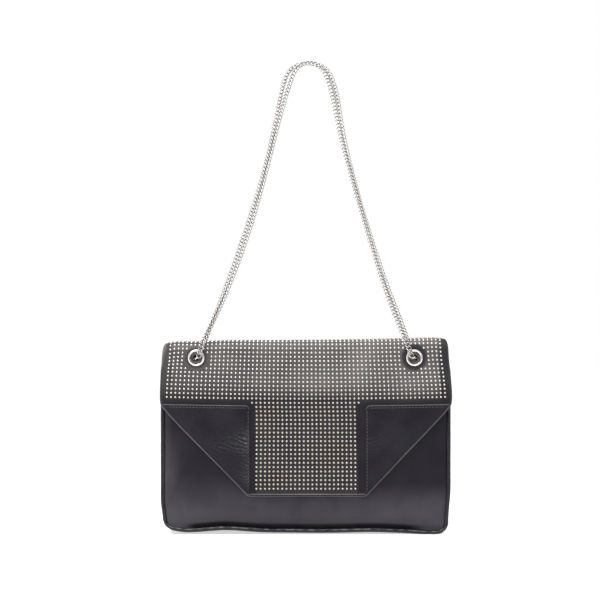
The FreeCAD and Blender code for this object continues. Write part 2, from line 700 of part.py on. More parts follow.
def inner_run(label, x):
    # The stretch inside the bag, straight from the flap eyelet to the lower back eyelet
    run = FreeCAD.Vector(0, back_pivot - front_pivot, back_eyelet_z - eyelet_z)
    along = FreeCAD.Vector(run).normalize()
    first = FreeCAD.Vector(x, front_pivot, eyelet_z) + along * link_side
    span = run.Length - 2 * link_side
    steps = 2 * round(span / link_pitch / 2)
    step = span / steps
    links = []
    for index in range(steps + 1):
        across = FreeCAD.Vector(0, 0, 1) if index % 2 == 0 else FreeCAD.Vector(1, 0, 0)
        links.append(place_link(first + along * (index * step), along, across))
    print(label, "links", len(links), "step", round(step, 3))
    return group(label, links)


inner_run("chain_inner_left", -chain_x)
inner_run("chain_inner_right", chain_x)

# Check every object, then write one file for each node
doc.recompute()
for item in doc.Objects:
    if "Invalid" in item.State or "Error" in item.State:
        raise RuntimeError(f"{item.Label} did not build: {item.State}")
os.makedirs("parts", exist_ok=True)
for node in nodes:
    if node.Shape.isNull() or not node.Shape.isValid():
        raise RuntimeError(f"{node.Label} has no valid shape")
    node.Shape.exportStep(f"parts/{node.Label}.step")
print("hinge", round(value(HINGE_Y), 3), round(value(HINGE_Z), 3))
print("pivots", round(front_pivot, 3), round(back_pivot, 3), "flap face", round(flap_face, 3))
print(len(nodes), "nodes;", len(band_studs) + len(top_studs) + len(tongue_studs), "studs")
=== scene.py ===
import math

import bpy
import numpy as np
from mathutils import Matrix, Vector


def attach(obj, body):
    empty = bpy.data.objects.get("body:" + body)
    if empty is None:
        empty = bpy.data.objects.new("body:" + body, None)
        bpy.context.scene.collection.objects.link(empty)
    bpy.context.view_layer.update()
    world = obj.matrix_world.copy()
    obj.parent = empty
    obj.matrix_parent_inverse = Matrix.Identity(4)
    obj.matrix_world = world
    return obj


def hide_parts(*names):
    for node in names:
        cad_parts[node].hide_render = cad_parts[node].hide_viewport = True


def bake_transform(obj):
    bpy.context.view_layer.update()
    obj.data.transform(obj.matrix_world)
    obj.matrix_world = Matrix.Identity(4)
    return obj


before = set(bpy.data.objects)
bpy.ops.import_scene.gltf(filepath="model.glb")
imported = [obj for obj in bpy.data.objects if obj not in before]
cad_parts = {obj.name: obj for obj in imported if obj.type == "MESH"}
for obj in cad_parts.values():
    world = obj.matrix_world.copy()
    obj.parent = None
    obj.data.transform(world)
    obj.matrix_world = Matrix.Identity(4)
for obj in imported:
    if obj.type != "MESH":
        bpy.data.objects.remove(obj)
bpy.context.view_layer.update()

MM = 0.001


# Gusset: one strip of smooth black calf that makes both sides and the base of the bag.
# Its long edges are sewn into the rolled edges, and its sides fold inwards towards the mouth.
GUSSET_HALF = 137.2
GUSSET_FRONT, GUSSET_BACK = -20.9, 25.7
GUSSET_TOP = 176.0
BASE_ROUND = 12.0
LEATHER = 1.4


class Shade:
    """A socket of a material; arithmetic on it adds Math nodes."""

    def __init__(self, socket):
        self.socket = socket

    def node(self, kind, settings=(), links=(), out=0):
        made = self.socket.id_data.nodes.new(kind)
        for name, setting in dict(settings).items():
            setattr(made, name, setting)
        for name, link in dict(links).items():
            if isinstance(link, Shade):
                self.socket.id_data.links.new(link.socket, made.inputs[name])
            else:
                made.inputs[name].default_value = link
        return Shade(made.outputs[out])

    def maths(self, operation, first, second):
        return self.node("ShaderNodeMath", {"operation": operation}, {0: first, 1: second})

    def __add__(self, other):
        return self.maths("ADD", self, other)

    def __mul__(self, other):
        return self.maths("MULTIPLY", self, other)

    __radd__ = __add__
    __rmul__ = __mul__

    def axis(self, letter):
        return self.node("ShaderNodeSeparateXYZ", (), {"Vector": self}, letter)

    def attribute(self, name):
        return self.node("ShaderNodeAttribute", {"attribute_name": name}, (), "Fac")

    def noise(self, scale, detail=2.0):
        return self.node("ShaderNodeTexNoise", (), {"Vector": self, "Scale": scale, "Detail": detail})

    def window(self, low, high, start=0.0, end=1.0):
        # The value stretched from low..high to start..end, held at the ends
        links = {"Value": self, "From Min": low, "From Max": high, "To Min": start, "To Max": end}
        return self.node("ShaderNodeMapRange", {"interpolation_type": "SMOOTHSTEP"}, links)

    def tint(self, low, high):
        # Two colours mixed by this value
        links = {0: self, 6: low, 7: high}
        return self.node("ShaderNodeMix", {"data_type": "RGBA"}, links, 2)

    def bump(self, strength, depth, under=None):
        links = {"Height": self, "Strength": strength, "Distance": depth}
        if under:
            links["Normal"] = under
        return self.node("ShaderNodeBump", (), links)


def finish(name, constants):
    # A new material, its surface shader with plain values set, and the piece's own coordinates
    material = bpy.data.materials.new(name)
    material.use_nodes = True
    surface = material.node_tree.nodes["Principled BSDF"]
    for socket, number in constants.items():
        surface.inputs[socket].default_value = number
    coordinates = material.node_tree.nodes.new("ShaderNodeTexCoord")
    return material, surface, Shade(coordinates.outputs["Object"])


def feed(surface, socket, shade):
    shade.socket.id_data.links.new(shade.socket, surface.inputs[socket])


def grey(level, warmth=0.0):
    return (level * (1 + warmth), level, level * (1 - warmth), 1.0)


def black(level):
    # Dyed black leather has a faint violet cast
    return (level + 0.0016, level, level + 0.006, 1.0)


def calf(name, dark, pale, rough, grain, painted_light_tone=None, shine=0.2):
    # Dyed calf with a fine pebble and faint mottling. Where the sheet carries painted light above 0, the
    # calf is painted paler as a painted sheen or highlight; below 0 it is matt.
    material, surface, here = finish(name, {"Specular IOR Level": shine})
    pebble = here.node("ShaderNodeTexVoronoi", {"feature": "SMOOTH_F1"},
                       {"Vector": here, "Scale": 1100.0})
    mottle = here.noise(38.0, 4.0).window(0.32, 0.72)
    rubs_and_painted_light = here.noise(420.0, 3.0).window(0.45, 0.8) * here.noise(22.0, 2.0).window(0.48, 0.7)
    tone = (mottle * 0.6 + rubs_and_painted_light * 0.4).tint(dark, pale)
    gloss_and_painted_glint = rough + mottle * 0.07 + rubs_and_painted_light * 0.08
    if painted_light_tone:
        painted_light_and_shade = here.attribute("painted_light_and_shade")
        tone = (painted_light_and_shade * (0.75 + mottle * 0.25)).tint(tone, painted_light_tone)
        gloss_and_painted_glint = gloss_and_painted_glint + painted_light_and_shade.window(-1.0, 0.0, 0.55, 0.0)
    feed(surface, "Base Color", tone)
    feed(surface, "Roughness", gloss_and_painted_glint)
    creases = here.noise(160.0, 4.0)
    feed(surface, "Normal", pebble.bump(grain, 0.0002, creases.bump(grain, 0.0006)))
    return material


body_calf = calf("black_calf", black(0.008), black(0.016), rough=0.36, grain=0.12)


def sheet(name, columns, rows, shape):
    # A grid laid out by shape(u, v), which gives millimetres and perhaps painted light and shade; u and v
    # run from 0 to 1
    bpy.ops.object.select_all(action="DESELECT")
    bpy.ops.mesh.primitive_grid_add(x_subdivisions=columns, y_subdivisions=rows, size=2)
    piece = bpy.context.object
    piece.name = name
    flat = np.empty(3 * len(piece.data.vertices))
    piece.data.vertices.foreach_get("co", flat)
    u, v = (flat.reshape(-1, 3)[:, :2].T + 1) / 2
    x, y, z, *painted_light_and_shade = np.broadcast_arrays(*shape(u, v))
    piece.data.vertices.foreach_set("co", (np.stack([x, y, z], axis=1) * MM).ravel())
    if painted_light_and_shade:
        rubs_and_painted_light = piece.data.attributes.new("painted_light_and_shade", "FLOAT", "POINT")
        rubs_and_painted_light.data.foreach_set("value", np.clip(painted_light_and_shade[0], -1, 1).astype(np.float32))
    piece.data.update()
    return piece


def pick(piece):
    # The only piece that the next operators work on
    bpy.ops.object.select_all(action="DESELECT")
    bpy.context.view_layer.objects.active = piece
    piece.select_set(True)


def modify(piece, kind, **settings):
    # One modifier added with its settings and applied at once
    pick(piece)
    modifier = piece.modifiers.new(kind.lower(), kind)
    for name, setting in settings.items():
        setattr(modifier, name, setting)
    bpy.ops.object.modifier_apply(modifier=modifier.name)


def thicken(piece, thickness, soften=0.0):
    # A wall of this thickness behind the sheet, with softened rims
    modify(piece, "SOLIDIFY", thickness=thickness * MM, offset=-1.0, use_even_offset=True)
    if soften:
        modify(piece, "BEVEL", width=soften * MM, segments=2, limit_method="ANGLE",
               angle_limit=math.radians(50))


def dress(piece, material, body, slot, *nodes, angle=40, inside=None):
    # The finished piece: smooth shading, material and body, with the CAD nodes it stands for hidden.
    # A second material may be given for the faces that look backwards or down, into the bag.
    pick(piece)
    bpy.ops.object.shade_smooth_by_angle(angle=math.radians(angle))
    piece.data.materials.clear()
    piece.data.materials.append(material)
    if inside:
        piece.data.materials.append(inside)
        for face in piece.data.polygons:
            face.material_index = int(face.normal.y > 0.3 or face.normal.z < -0.3)
    if body:
        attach(piece, body)
    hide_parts(*nodes)


def ease(value):
    # 0 below 0, 1 above 1, smooth between
    held = np.clip(value, 0, 1)
    return held * held * (3 - 2 * held)


def hump(value, width):
    # 1 at 0, falling off smoothly on both sides
    return np.exp(-(value / width) ** 2)


def tray(share, half, low, radius, top):
    # A place down the left side, along the base and up the right side, and the way outwards there
    side = top - low - radius
    bend = radius * math.pi / 2
    base = half - radius
    run = (2 * np.asarray(share) - 1) * (side + bend + base)
    reach = np.abs(run)
    turn = np.clip((reach - base) / radius, 0, math.pi / 2)
    x = np.minimum(reach, base) + radius * np.sin(turn)
    z = low + radius - radius * np.cos(turn) + np.maximum(reach - base - bend, 0)
    return np.sign(run) * x, z, np.sign(run) * np.sin(turn), -np.cos(turn)


def slump(x, y, z):
    # The soft foot of the bag: it stands unevenly, and its lower corners are drawn in
    front = ease((30 - y) / 55)
    low = (1 - ease((z - 4) / 46)) * front
    left_corner, right_corner = ease((-x - 112) / 24), ease((x - 112) / 24)
    rise = (2.3 * hump(x + 76, 24) + 0.5 * hump(x - 60, 20) + 2.2 * left_corner
            - 0.35 * hump(x - 15, 30) - 2.0 * hump(x - 124, 26))
    left = 2.1 * left_corner * (1 - ease((z - 8) / 24))
    right = 0.8 * ease((x - 60) / 70) - 2.2 * right_corner * (1 - ease((z - 12) / 32))
    return x + (left + right) * front, y, z + rise * low


def gusset_shape(inset):
    # The strip, or its lining this far inside it: the sides fold in and ripple above the base
    def shape(u, v):
        x, z, out_x, out_z = tray(u, GUSSET_HALF - inset, inset, BASE_ROUND - inset, GUSSET_TOP)
        middle = np.sin(math.pi * v) ** 1.3
        fold = 7.5 * ease((z - 45) / 130) * middle + 0.5 * middle * (z > BASE_ROUND)
        ripple = 0.35 * middle * np.sin(z / 6.5 + 3 * v) * ease((z - 20) / 60)
        y = GUSSET_BACK + (GUSSET_FRONT - GUSSET_BACK) * v
        return slump(x - out_x * (fold + ripple), y, z - out_z * 0.25 * middle * (z < BASE_ROUND))
    return shape


gusset = sheet("gusset_strip", 190, 18, gusset_shape(0.0))
thicken(gusset, LEATHER, soften=0.3)
dress(gusset, body_calf, "bag", "calf_leather", "gusset")


# Rolled edges: a cord wrapped in a bias of the same calf, sewn between each wall and the gusset.
# They run down the sides and along the base, and pucker a little at the stitches.
PIPE_RADIUS = 2.0
PIPE_HALF = 137.7
PIPE_LOW = 2.3
PIPE_BEND = 9.7
PIPE_TOP = 156.0
PIPE_RUN = 570
FRONT_PIPE_Y, BACK_PIPE_Y = -22.6, 27.4
PAINTED_GLINT_LINE = 0.69


def pipe_shape(centre_y, phase):
    # A tube along the seam, puckered most along the base, where a broken painted highlight runs
    def shape(u, v):
        x, z, out_x, out_z = tray(u, PIPE_HALF, PIPE_LOW, PIPE_BEND, PIPE_TOP)
        around = 2 * math.pi * v
        along = u * PIPE_RUN
        pucker = (0.10 * np.sin(along / 1.1 + phase) * np.sin(along / 9.0)
                  + 0.10 * np.sin(along / 2.3 + phase) + 0.12 * np.sin(along / 6.1 + 2 * phase))
        radius = PIPE_RADIUS + pucker * (0.25 + 0.75 * np.abs(out_z))
        sway = 0.22 * np.sin(along / 15.0 + phase) * np.sin(along / 47.0)
        out = radius * np.cos(around) - 0.15
        gloss_and_painted_glint = hump(v - PAINTED_GLINT_LINE, 0.024) * ease((np.abs(out_z) - 0.6) / 0.3)
        patches = 0.5 * np.sin(along / 5.3 + phase) * np.sin(along / 13.0)
        broken = ease(0.45 + patches + 0.4 * np.sin(along / 1.7))
        y = centre_y + sway + radius * np.sin(around)
        return *slump(x + out_x * out, y, z + out_z * out), gloss_and_painted_glint * broken
    return shape


def close_tube(piece):
    # Join the tube's seam and close its two ends
    pick(piece)
    bpy.ops.object.mode_set(mode="EDIT")
    bpy.ops.mesh.select_all(action="SELECT")
    bpy.ops.mesh.remove_doubles(threshold=0.00001)
    bpy.ops.mesh.select_all(action="DESELECT")
    bpy.ops.mesh.select_non_manifold()
    bpy.ops.mesh.edge_face_add()
    bpy.ops.mesh.select_all(action="SELECT")
    bpy.ops.mesh.normals_make_consistent(inside=False)
    bpy.ops.object.mode_set(mode="OBJECT")


# Its pale tone is the painted highlight along the base
rolled_calf = calf("rolled_calf", black(0.008), black(0.022), rough=0.26, grain=0.12,
                   painted_light_tone=grey(0.32), shine=0.35)
for wall, centre_y, phase in (("front", FRONT_PIPE_Y, 0.4), ("back", BACK_PIPE_Y, 1.9)):
    rolled = sheet(f"{wall}_rolled_edge", 560, 26, pipe_shape(centre_y, phase))
    close_tube(rolled)
    dress(rolled, rolled_calf, "bag", "calf_leather", f"{wall}_piping")


# Front and back walls: calf panels that belly out over their boards and turn in at the seams.
# The front one is low, with painted sheen along its foot; the back one runs up to the flap's hinge line.
PANEL_HALF = 135.6
PANEL_LOW = 4.4
PANEL_ROUND = 7.6
FRONT_FACE, FRONT_TOP = -24.6, 156.0
BACK_FACE, BACK_TOP = 29.4, 183.2
SNAP_Z, SNAP_HOLE = 62.0, 2.15
SEAM_CLEAR = 14
EYELET_X, EYELET_Z, BACK_EYELET_Z = 105.0, 169.0, 159.0


def panel_place(u, v, top):
    # A place on a panel with rounded lower corners, and its distance from the sewn edge
    z = PANEL_LOW + (top - PANEL_LOW) * (0.4 * v + 0.6 * v * v)
    above = np.minimum(z - PANEL_LOW, PANEL_ROUND)
    rounding = np.maximum(PANEL_ROUND ** 2 - (PANEL_ROUND - above) ** 2, 0)
    half = PANEL_HALF - PANEL_ROUND + np.sqrt(rounding)
    spread = 2 * u - 1
    x = half * (spread + 0.2 * np.sin(math.pi * spread))
    aside = np.abs(x) - (PANEL_HALF - PANEL_ROUND)
    below = PANEL_LOW + PANEL_ROUND - z
    corner = PANEL_ROUND - np.hypot(np.maximum(aside, 0), np.maximum(below, 0))
    straight = np.minimum(PANEL_HALF - np.abs(x), z - PANEL_LOW)
    inset = np.where((aside > 0) & (below > 0), corner, straight)
    return x, z, np.maximum(inset, 0)


def belly(x, z, base_groove):
    # How far a panel stands out: turned in at its seams, fullest just above the base
    side = PANEL_HALF - np.abs(x)
    above = z - PANEL_LOW
    side_seam = -1.3 * (1 - ease(side / 3.2)) ** 1.3
    base_seam = -base_groove * (1 - ease(above / 6.5)) ** 1.4
    full = 2.5 * np.sin(math.pi * np.clip((z + 8) / 150, 0, 1)) ** 0.8 + 1.5 * hump(z - 19, 12)
    soft = 0.3 * np.sin(x / 17 + 1.1) * np.sin(z / 13 + 0.4) * ease(side / 20)
    spread = ease(side / 24) * ease(above / 11)
    return np.minimum(side_seam, base_seam) + (full + soft) * spread


def front_shape(u, v):
    # Set down round the snap; painted sheen along the foot and up the left edge, and painted light across
    # the middle above it, where the tongue's shadow falls. The fold along the base is kept dark between the
    # corners as painted shade.
    x, z, inset = panel_place(u, v, FRONT_TOP)
    snap = ease((np.hypot(x, z - SNAP_Z) - 8) / 24)
    groove = ease((x + 122) / 22) * (1 - 0.8 * ease((x - 88) / 34))
    middle = hump(x, 70)
    rightward = ease((x - 40) / 30)
    foot = 1 - ease((z - 16 - 8 * rightward) / (46 - 20 * rightward))
    foot = foot * (1 - 0.26 * middle * (1 - ease((z - 20) / 14)))
    rubs_and_painted_light = ease((66 - np.abs(x)) / 14) * hump(z - 35, 5)
    left = 0.95 * ease((-x - 116) / 20) * (1 - ease((z - 54) / 50))
    left = left + 0.35 * ease((-x - 127) / 6) * ease((z - 60) / 30)
    fold = groove * (1 - ease((z - 7) / 3.6))
    painted_light_and_shade = np.maximum(np.maximum(foot, left), rubs_and_painted_light) * (1 - 0.88 * fold) - 0.5 * fold
    stand = belly(x, z, 1.2 + 1.9 * groove) * np.where(inset > SEAM_CLEAR, snap, 1)
    return *slump(x, FRONT_FACE - stand, z), painted_light_and_shade


def top_sag(x):
    # The middle of the top edge hangs lower than its ends
    return 0.9 - 1.7 * (1 - (x / 135) ** 2)


def top_line(x):
    # The top edge of the bag: it sags between the corners, leans to the left and rounds off at the ends
    left = -1.5 * ease((-x - 70) / 45) - 2.2 * ease((-x - 122) / 16)
    right = -1.2 * ease((x - 124) / 12)
    corner = -4.5 * np.clip((np.abs(x) - 133.2) / 4, 0, 1.1) ** 3
    return top_sag(x) + 0.008 * x + left + right + corner


def to_top_line(x, z):
    # How far a wall is moved up or down there: only near its top
    return top_line(x) * ease((z - 168) / 14)


def back_shape(u, v):
    # Set down round the eyelets and drawn in at the seam with the flap
    x, z, inset = panel_place(1 - u, v, BACK_TOP)
    eyelet = ease((np.hypot(np.abs(x) - EYELET_X, z - BACK_EYELET_Z) - 9) / 12)
    top_seam = ease((BACK_TOP - z) / 10)
    stand = belly(x, z, 2.6) * np.where(inset > SEAM_CLEAR, eyelet, 1) * top_seam
    x, y, z = slump(x, BACK_FACE + stand, z)
    return x, y, z + to_top_line(x, z)


def punch(piece, holes):
    # Round holes along Y: (x, z, radius) in millimetres
    for x, z, radius in holes:
        bpy.ops.object.select_all(action="DESELECT")
        bpy.ops.mesh.primitive_cylinder_add(vertices=40, radius=radius * MM, depth=0.5,
                                            location=(x * MM, 0, z * MM), rotation=(math.pi / 2, 0, 0))
        punch_tool = bpy.context.object
        modify(piece, "BOOLEAN", operation="DIFFERENCE", object=punch_tool, solver="EXACT")
        bpy.data.objects.remove(punch_tool)


EYELET_HOLE = 6.45
FLAP_HOLES = [(side * EYELET_X, EYELET_Z, EYELET_HOLE) for side in (-1, 1)]
BACK_HOLES = [(side * EYELET_X, BACK_EYELET_Z, EYELET_HOLE) for side in (-1, 1)]
SNAP_HOLES = [(0, SNAP_Z, SNAP_HOLE)]
# Its pale tone is the painted sheen and light on the front wall
front_calf = calf("front_calf", black(0.008), black(0.016), rough=0.36, grain=0.12,
                  painted_light_tone=(0.077, 0.073, 0.087, 1))
front_panel = sheet("front_wall", 170, 120, front_shape)
thicken(front_panel, LEATHER, soften=0.3)
punch(front_panel, SNAP_HOLES)
dress(front_panel, front_calf, "bag", "calf_leather", "front_panel")
back_panel = sheet("back_wall", 170, 120, back_shape)
thicken(back_panel, LEATHER, soften=0.3)
punch(back_panel, BACK_HOLES)
dress(back_panel, body_calf, "bag", "calf_leather", "back_panel")


# Boards and lining: thin boards stiffen the walls, and a dark twill covers them and the gusset inside.
# The twill is cut a little full, so it ripples between its seams. A flat slip pocket is sewn to the back.
LINING = 0.8
BOARD, BOARD_HALF, BOARD_LOW = 0.9, 131.0, 12.0
FRONT_BOARD_Y, BACK_BOARD_Y = -22.9, 27.7


def twill(name, dark, pale):
    # Fine diagonal ribs in two close tones
    constants = {"Specular IOR Level": 0.2, "Sheen Weight": 0.25, "Sheen Roughness": 0.5}
    material, surface, here = finish(name, constants)
    spin = here.node("ShaderNodeMapping", (), {"Vector": here, "Rotation": (0.0, 0.8, 0.0)})
    ribs = here.node("ShaderNodeTexWave", {"bands_direction": "X"},
                     {"Vector": spin, "Scale": 420.0, "Distortion": 1.2, "Detail": 2.0}, "Fac")
    slub = here.noise(900.0, 3.0)
    feed(surface, "Base Color", (ribs * 0.6 + slub * 0.4).tint(dark, pale))
    feed(surface, "Roughness", 0.72 + slub * 0.2)
    feed(surface, "Normal", ribs.bump(0.35, 0.0002, slub.bump(0.2, 0.0003)))
    return material


lining_twill = twill("lining_twill", grey(0.02, 0.02), grey(0.05, 0.02))
stiffener = twill("stiffener_board", grey(0.03, 0.05), grey(0.06, 0.05))


def board_shape(facing, face, top):
    # A flat board behind a wall; facing is 1 for the front wall and -1 for the back one
    def shape(u, v):
        x = BOARD_HALF * (2 * u - 1) * facing
        z = BOARD_LOW + (top - BOARD_LOW) * v
        x, y, z = slump(x, np.full_like(x, face), z)
        return x, y, z + to_top_line(x, z)
    return shape


front_board = sheet("front_wall_board", 40, 24, board_shape(1, FRONT_BOARD_Y, FRONT_TOP - 1.5))
thicken(front_board, BOARD)
punch(front_board, SNAP_HOLES)
dress(front_board, stiffener, "bag", "stiffener", "front_board")
back_board = sheet("back_wall_board", 40, 24, board_shape(-1, BACK_BOARD_Y, BACK_TOP - 3.0))
thicken(back_board, BOARD)
punch(back_board, BACK_HOLES)
dress(back_board, stiffener, "bag", "stiffener", "back_board")

LINING_HALF, LINING_LOW = 133.6, 6.2
BACK_LINING_TOP = 181.0
FRONT_LINING_Y, BACK_LINING_Y = -20.8, 25.6


def wall_lining(facing, face, top):
    # Cloth held along its edges, with soft ripples between; facing is -1 at the front and 1 at the back
    def shape(u, v):
        x = LINING_HALF * (2 * u - 1) * facing
        z = LINING_LOW + (top - LINING_LOW) * v
        held = ease((LINING_HALF - np.abs(x)) / 25) * ease((z - LINING_LOW) / 25) * ease((top - z) / 12)
        ripple = 0.25 * held * (np.sin(x / 11 + z / 31) + 0.6 * np.sin(x / 23 - z / 12))
        return x, face + facing * (ripple - 0.25 * held), z + to_top_line(x, z)
    return shape


def line_with(piece, width, height, *nodes):
    # A piece of lining cloth, sewn in along its edges
    dress(piece, lining_twill, "bag", "lining", *nodes)


front_lining = sheet("front_wall_lining", 90, 60, wall_lining(-1, FRONT_LINING_Y, FRONT_TOP))
thicken(front_lining, LINING - 0.1)
punch(front_lining, SNAP_HOLES)
line_with(front_lining, 2 * LINING_HALF, FRONT_TOP - LINING_LOW, "front_lining")
back_lining = sheet("back_wall_lining", 90, 60, wall_lining(1, BACK_LINING_Y, BACK_LINING_TOP))
thicken(back_lining, LINING - 0.1)
punch(back_lining, BACK_HOLES)
line_with(back_lining, 2 * LINING_HALF, BACK_LINING_TOP - LINING_LOW, "back_lining")
LINING_INSET = 1.6
gusset_lining = sheet("gusset_strip_lining", 150, 14, gusset_shape(LINING_INSET))
thicken(gusset_lining, LINING)
GUSSET_LINING_RUN = (2 * (GUSSET_TOP - BASE_ROUND + GUSSET_HALF - BASE_ROUND)
                     + math.pi * (BASE_ROUND - LINING_INSET))
line_with(gusset_lining, GUSSET_LINING_RUN, GUSSET_BACK - GUSSET_FRONT, "gusset_lining")
POCKET_HALF, POCKET_LOW, POCKET_TOP = 90.0, 55.0, 140.0
POCKET_Y, POCKET_CLOTH = 24.3, 0.7


def pocket_shape(u, v):
    # Sewn on three sides, with a little slack at its mouth
    x = POCKET_HALF * (2 * u - 1)
    z = POCKET_LOW + (POCKET_TOP - POCKET_LOW) * v
    slack = ease((POCKET_HALF - np.abs(x)) / 30) * ease((z - POCKET_LOW) / 40)
    mouth = 0.9 * slack * v ** 3 * np.cos(x / 62) ** 2
    return x, POCKET_Y - 0.35 * slack - mouth, z


pocket = sheet("slip_pocket_panel", 60, 36, pocket_shape)
thicken(pocket, POCKET_CLOTH, soften=0.2)
line_with(pocket, 2 * POCKET_HALF, POCKET_TOP - POCKET_LOW, "slip_pocket")


# Flap: studded calf from the hinge over the top and down the front, narrowing to a broad tongue.
# It droops at the ends of the top, leans back above the corners, and is sewn to the back below its hinge.
FLAP_FACE, FLAP_TOP, FLAP_BEND = -30.7, 186.4, 8.0
FLAP_SKIN, FLAP_CORE, FLAP_BACKING = 1.3, 0.9, 0.7
FLAP_CORNER, FLAP_LOW = 122.5, 35.2
CORNER_HALF, TOP_HALF, TONGUE_HALF = 140.4, 137.2, 56.6
EDGE_RIM, TONGUE_ROUND = 2.2, 2.2
HINGE_Y, HINGE_Z = 27.95, 184.95
BEND_START = FLAP_TOP - FLAP_BEND
BEND_LENGTH = FLAP_BEND * math.pi / 2
ROOF_LENGTH = HINGE_Y - FLAP_FACE - FLAP_BEND
FLAP_ROOT = BEND_START + BEND_LENGTH + ROOF_LENGTH
ROOT_BEND, ROOT_DROP = 2.45, 5.0
ROOT_LENGTH = ROOT_BEND * math.pi / 2


def flap_half(climb, rise=0.0, trim=0.0):
    # Half the flap's width at a distance up its outside, with the lower corners eased round
    upper = CORNER_HALF + (TOP_HALF - CORNER_HALF) * np.clip((climb - FLAP_CORNER - rise) / 64, 0, 1)
    slope = (CORNER_HALF - TONGUE_HALF) / (FLAP_CORNER - FLAP_LOW)
    lower = TONGUE_HALF + (climb - FLAP_LOW - rise) * slope
    gap = upper - lower
    return (upper + lower - np.sqrt(gap * gap + 9.0)) / 2 + 0.3 - trim


def tongue_shift(climb):
    # The tongue hangs a little to the right of the middle
    return 1.6 * (1 - ease((climb - 45) / 70))


def eyelet_distance(x, climb):
    return np.hypot(np.abs(x) - EYELET_X, climb - EYELET_Z)


def flap_place(x, climb, depth):
    # A place under the flap's outside: up the front, round the bend, back over the top and down the back
    turn = np.clip((climb - BEND_START) / FLAP_BEND, 0, math.pi / 2)
    back = np.clip(climb - BEND_START - BEND_LENGTH, 0, ROOF_LENGTH)
    radius = FLAP_BEND - depth
    y = FLAP_FACE + FLAP_BEND - radius * np.cos(turn) + back
    z = np.minimum(climb, BEND_START) + radius * np.sin(turn)
    root = np.clip((climb - FLAP_ROOT) / ROOT_BEND, 0, math.pi / 2)
    y = y + (ROOT_BEND - depth) * np.sin(root)
    z = z - (ROOT_BEND - depth) * (1 - np.cos(root)) - np.maximum(climb - FLAP_ROOT - ROOT_LENGTH, 0)
    front = 1 - ease(turn / (math.pi / 2))
    up = ease((climb - 120) / 62)
    from_eyelet = eyelet_distance(x, climb)
    eyelet = ease((from_eyelet - 9) / 9)
    ring = 0.25 * hump(from_eyelet - 9.3, 1.0) - 0.55 * hump(from_eyelet - 12.2, 1.4)
    lean = 3.4 * (np.maximum(climb - 125, 0) / 60) ** 2 - 1.8
    bulge = -0.5 * np.cos(np.clip(x / 140, -1, 1) * math.pi / 2) * up
    edge = ease((flap_half(climb) - np.abs(x)) / 22) * ease((climb - FLAP_LOW) / 22)
    proud = np.where(lean < 0, lean * edge, lean)
    y = y + (proud * eyelet + bulge * eyelet + ring) * front
    z = z - 0.9 * np.sin(math.pi * back / ROOF_LENGTH)
    sag = top_sag(x)
    settle = sag * ease((climb - 85) / 50) + (top_line(x) - sag) * ease((climb - 150) / 28)
    wide = 1.3 * ease((x - 40) / 90) * ease((climb - 60) / 60) * (1 - ease((climb - 130) / 45))
    return x + wide, y, z + settle * np.where(turn > 0, 1, eyelet * 0.5 + 0.5)


def skin_painted_light(x, climb, aside, above):
    # Painted light among the studs, on the margins, over the top and the left end and round the eyelets, and
    # painted highlights along the sides and the tongue's edge
    from_eyelet = eyelet_distance(x, climb)
    among = ease((131 - np.abs(x)) / 4) * ease((from_eyelet - 11) / 2.5)
    patchy = 1 + 0.2 * np.sin(x / 23 + climb / 31) * np.sin(x / 11 - climb / 17)
    rightward = 0.06 * ease((x + 50) / 150) * ease((climb - 120) / 20)
    across = 0.74 + 0.26 * ease((x + 120) / 120)
    band = (0.26 * ease((climb - 124) / 24) + rightward) * across * patchy * among
    roof = 1 - 0.75 * ease((climb - 181) / 7)
    top = (0.08 + 0.26 * among) * ease((climb - 172) / 10) * roof
    margin = np.where(x < 0, 0.13, 0.05) * ease((climb - 122) / 24) * roof
    crease = np.where(x < 0, 0.26, 0.1) * hump(from_eyelet - 11.4, 1.2)
    end = 0.4 * ease((-x - 130) / 7) * ease((climb - 172) / 10)
    rim = 0.22 * (1 - ease(aside / 1.8)) * ease((climb - 118) / 6)
    soft_end = 0.24 * (1 - ease(aside / 8)) * ease((climb - 148) / 24) * (x < 0)
    tongue = 0.05 * ease((50 - np.abs(x)) / 3) * ease((130 - climb) / 4)
    edge = (1 - ease((above - 0.35) / 0.45)) * (0.5 + 0.5 * hump(x, 45))
    painted_marks = np.broadcast_arrays(band, top, margin, crease, end, rim, soft_end, tongue, edge)
    return np.max(painted_marks, axis=0)


def rim_painted_highlight(x, climb, aside, above):
    # The cut edge has a painted highlight all round
    return np.maximum(1 - ease((aside - 1.7) / 0.5), 1 - ease((above - 0.7) / 0.4))


def no_painted_light(x, climb, aside, above):
    return np.zeros_like(x)


def flap_shape(depth, rise, trim, root, bead=0.0, painted_light_and_shade=no_painted_light):
    # A layer of the flap, this deep under its outside and cut back by rise and trim; a bead is the thickness
    # of the edge that is turned under along the tongue
    low = FLAP_LOW + rise

    def shape(u, v):
        climb = np.interp(v, [0, 0.1, 0.86, 1], [low, low + 4.5, FLAP_ROOT - 5, root])
        half = flap_half(climb, rise, trim)
        foot = np.clip((climb - low) / TONGUE_ROUND, 0, 1)
        half = half - TONGUE_ROUND * (1 - np.sqrt(foot * (2 - foot)))
        spread = 2 * u - 1
        x = half * (spread + 0.15 * np.sin(math.pi * spread))
        proud = bead * hump(climb - low - 0.7, 0.6)
        rubs_and_painted_light = painted_light_and_shade(x, climb, half - np.abs(x), climb - low)
        return *flap_place(x + tongue_shift(climb), climb, depth - proud), rubs_and_painted_light
    return shape


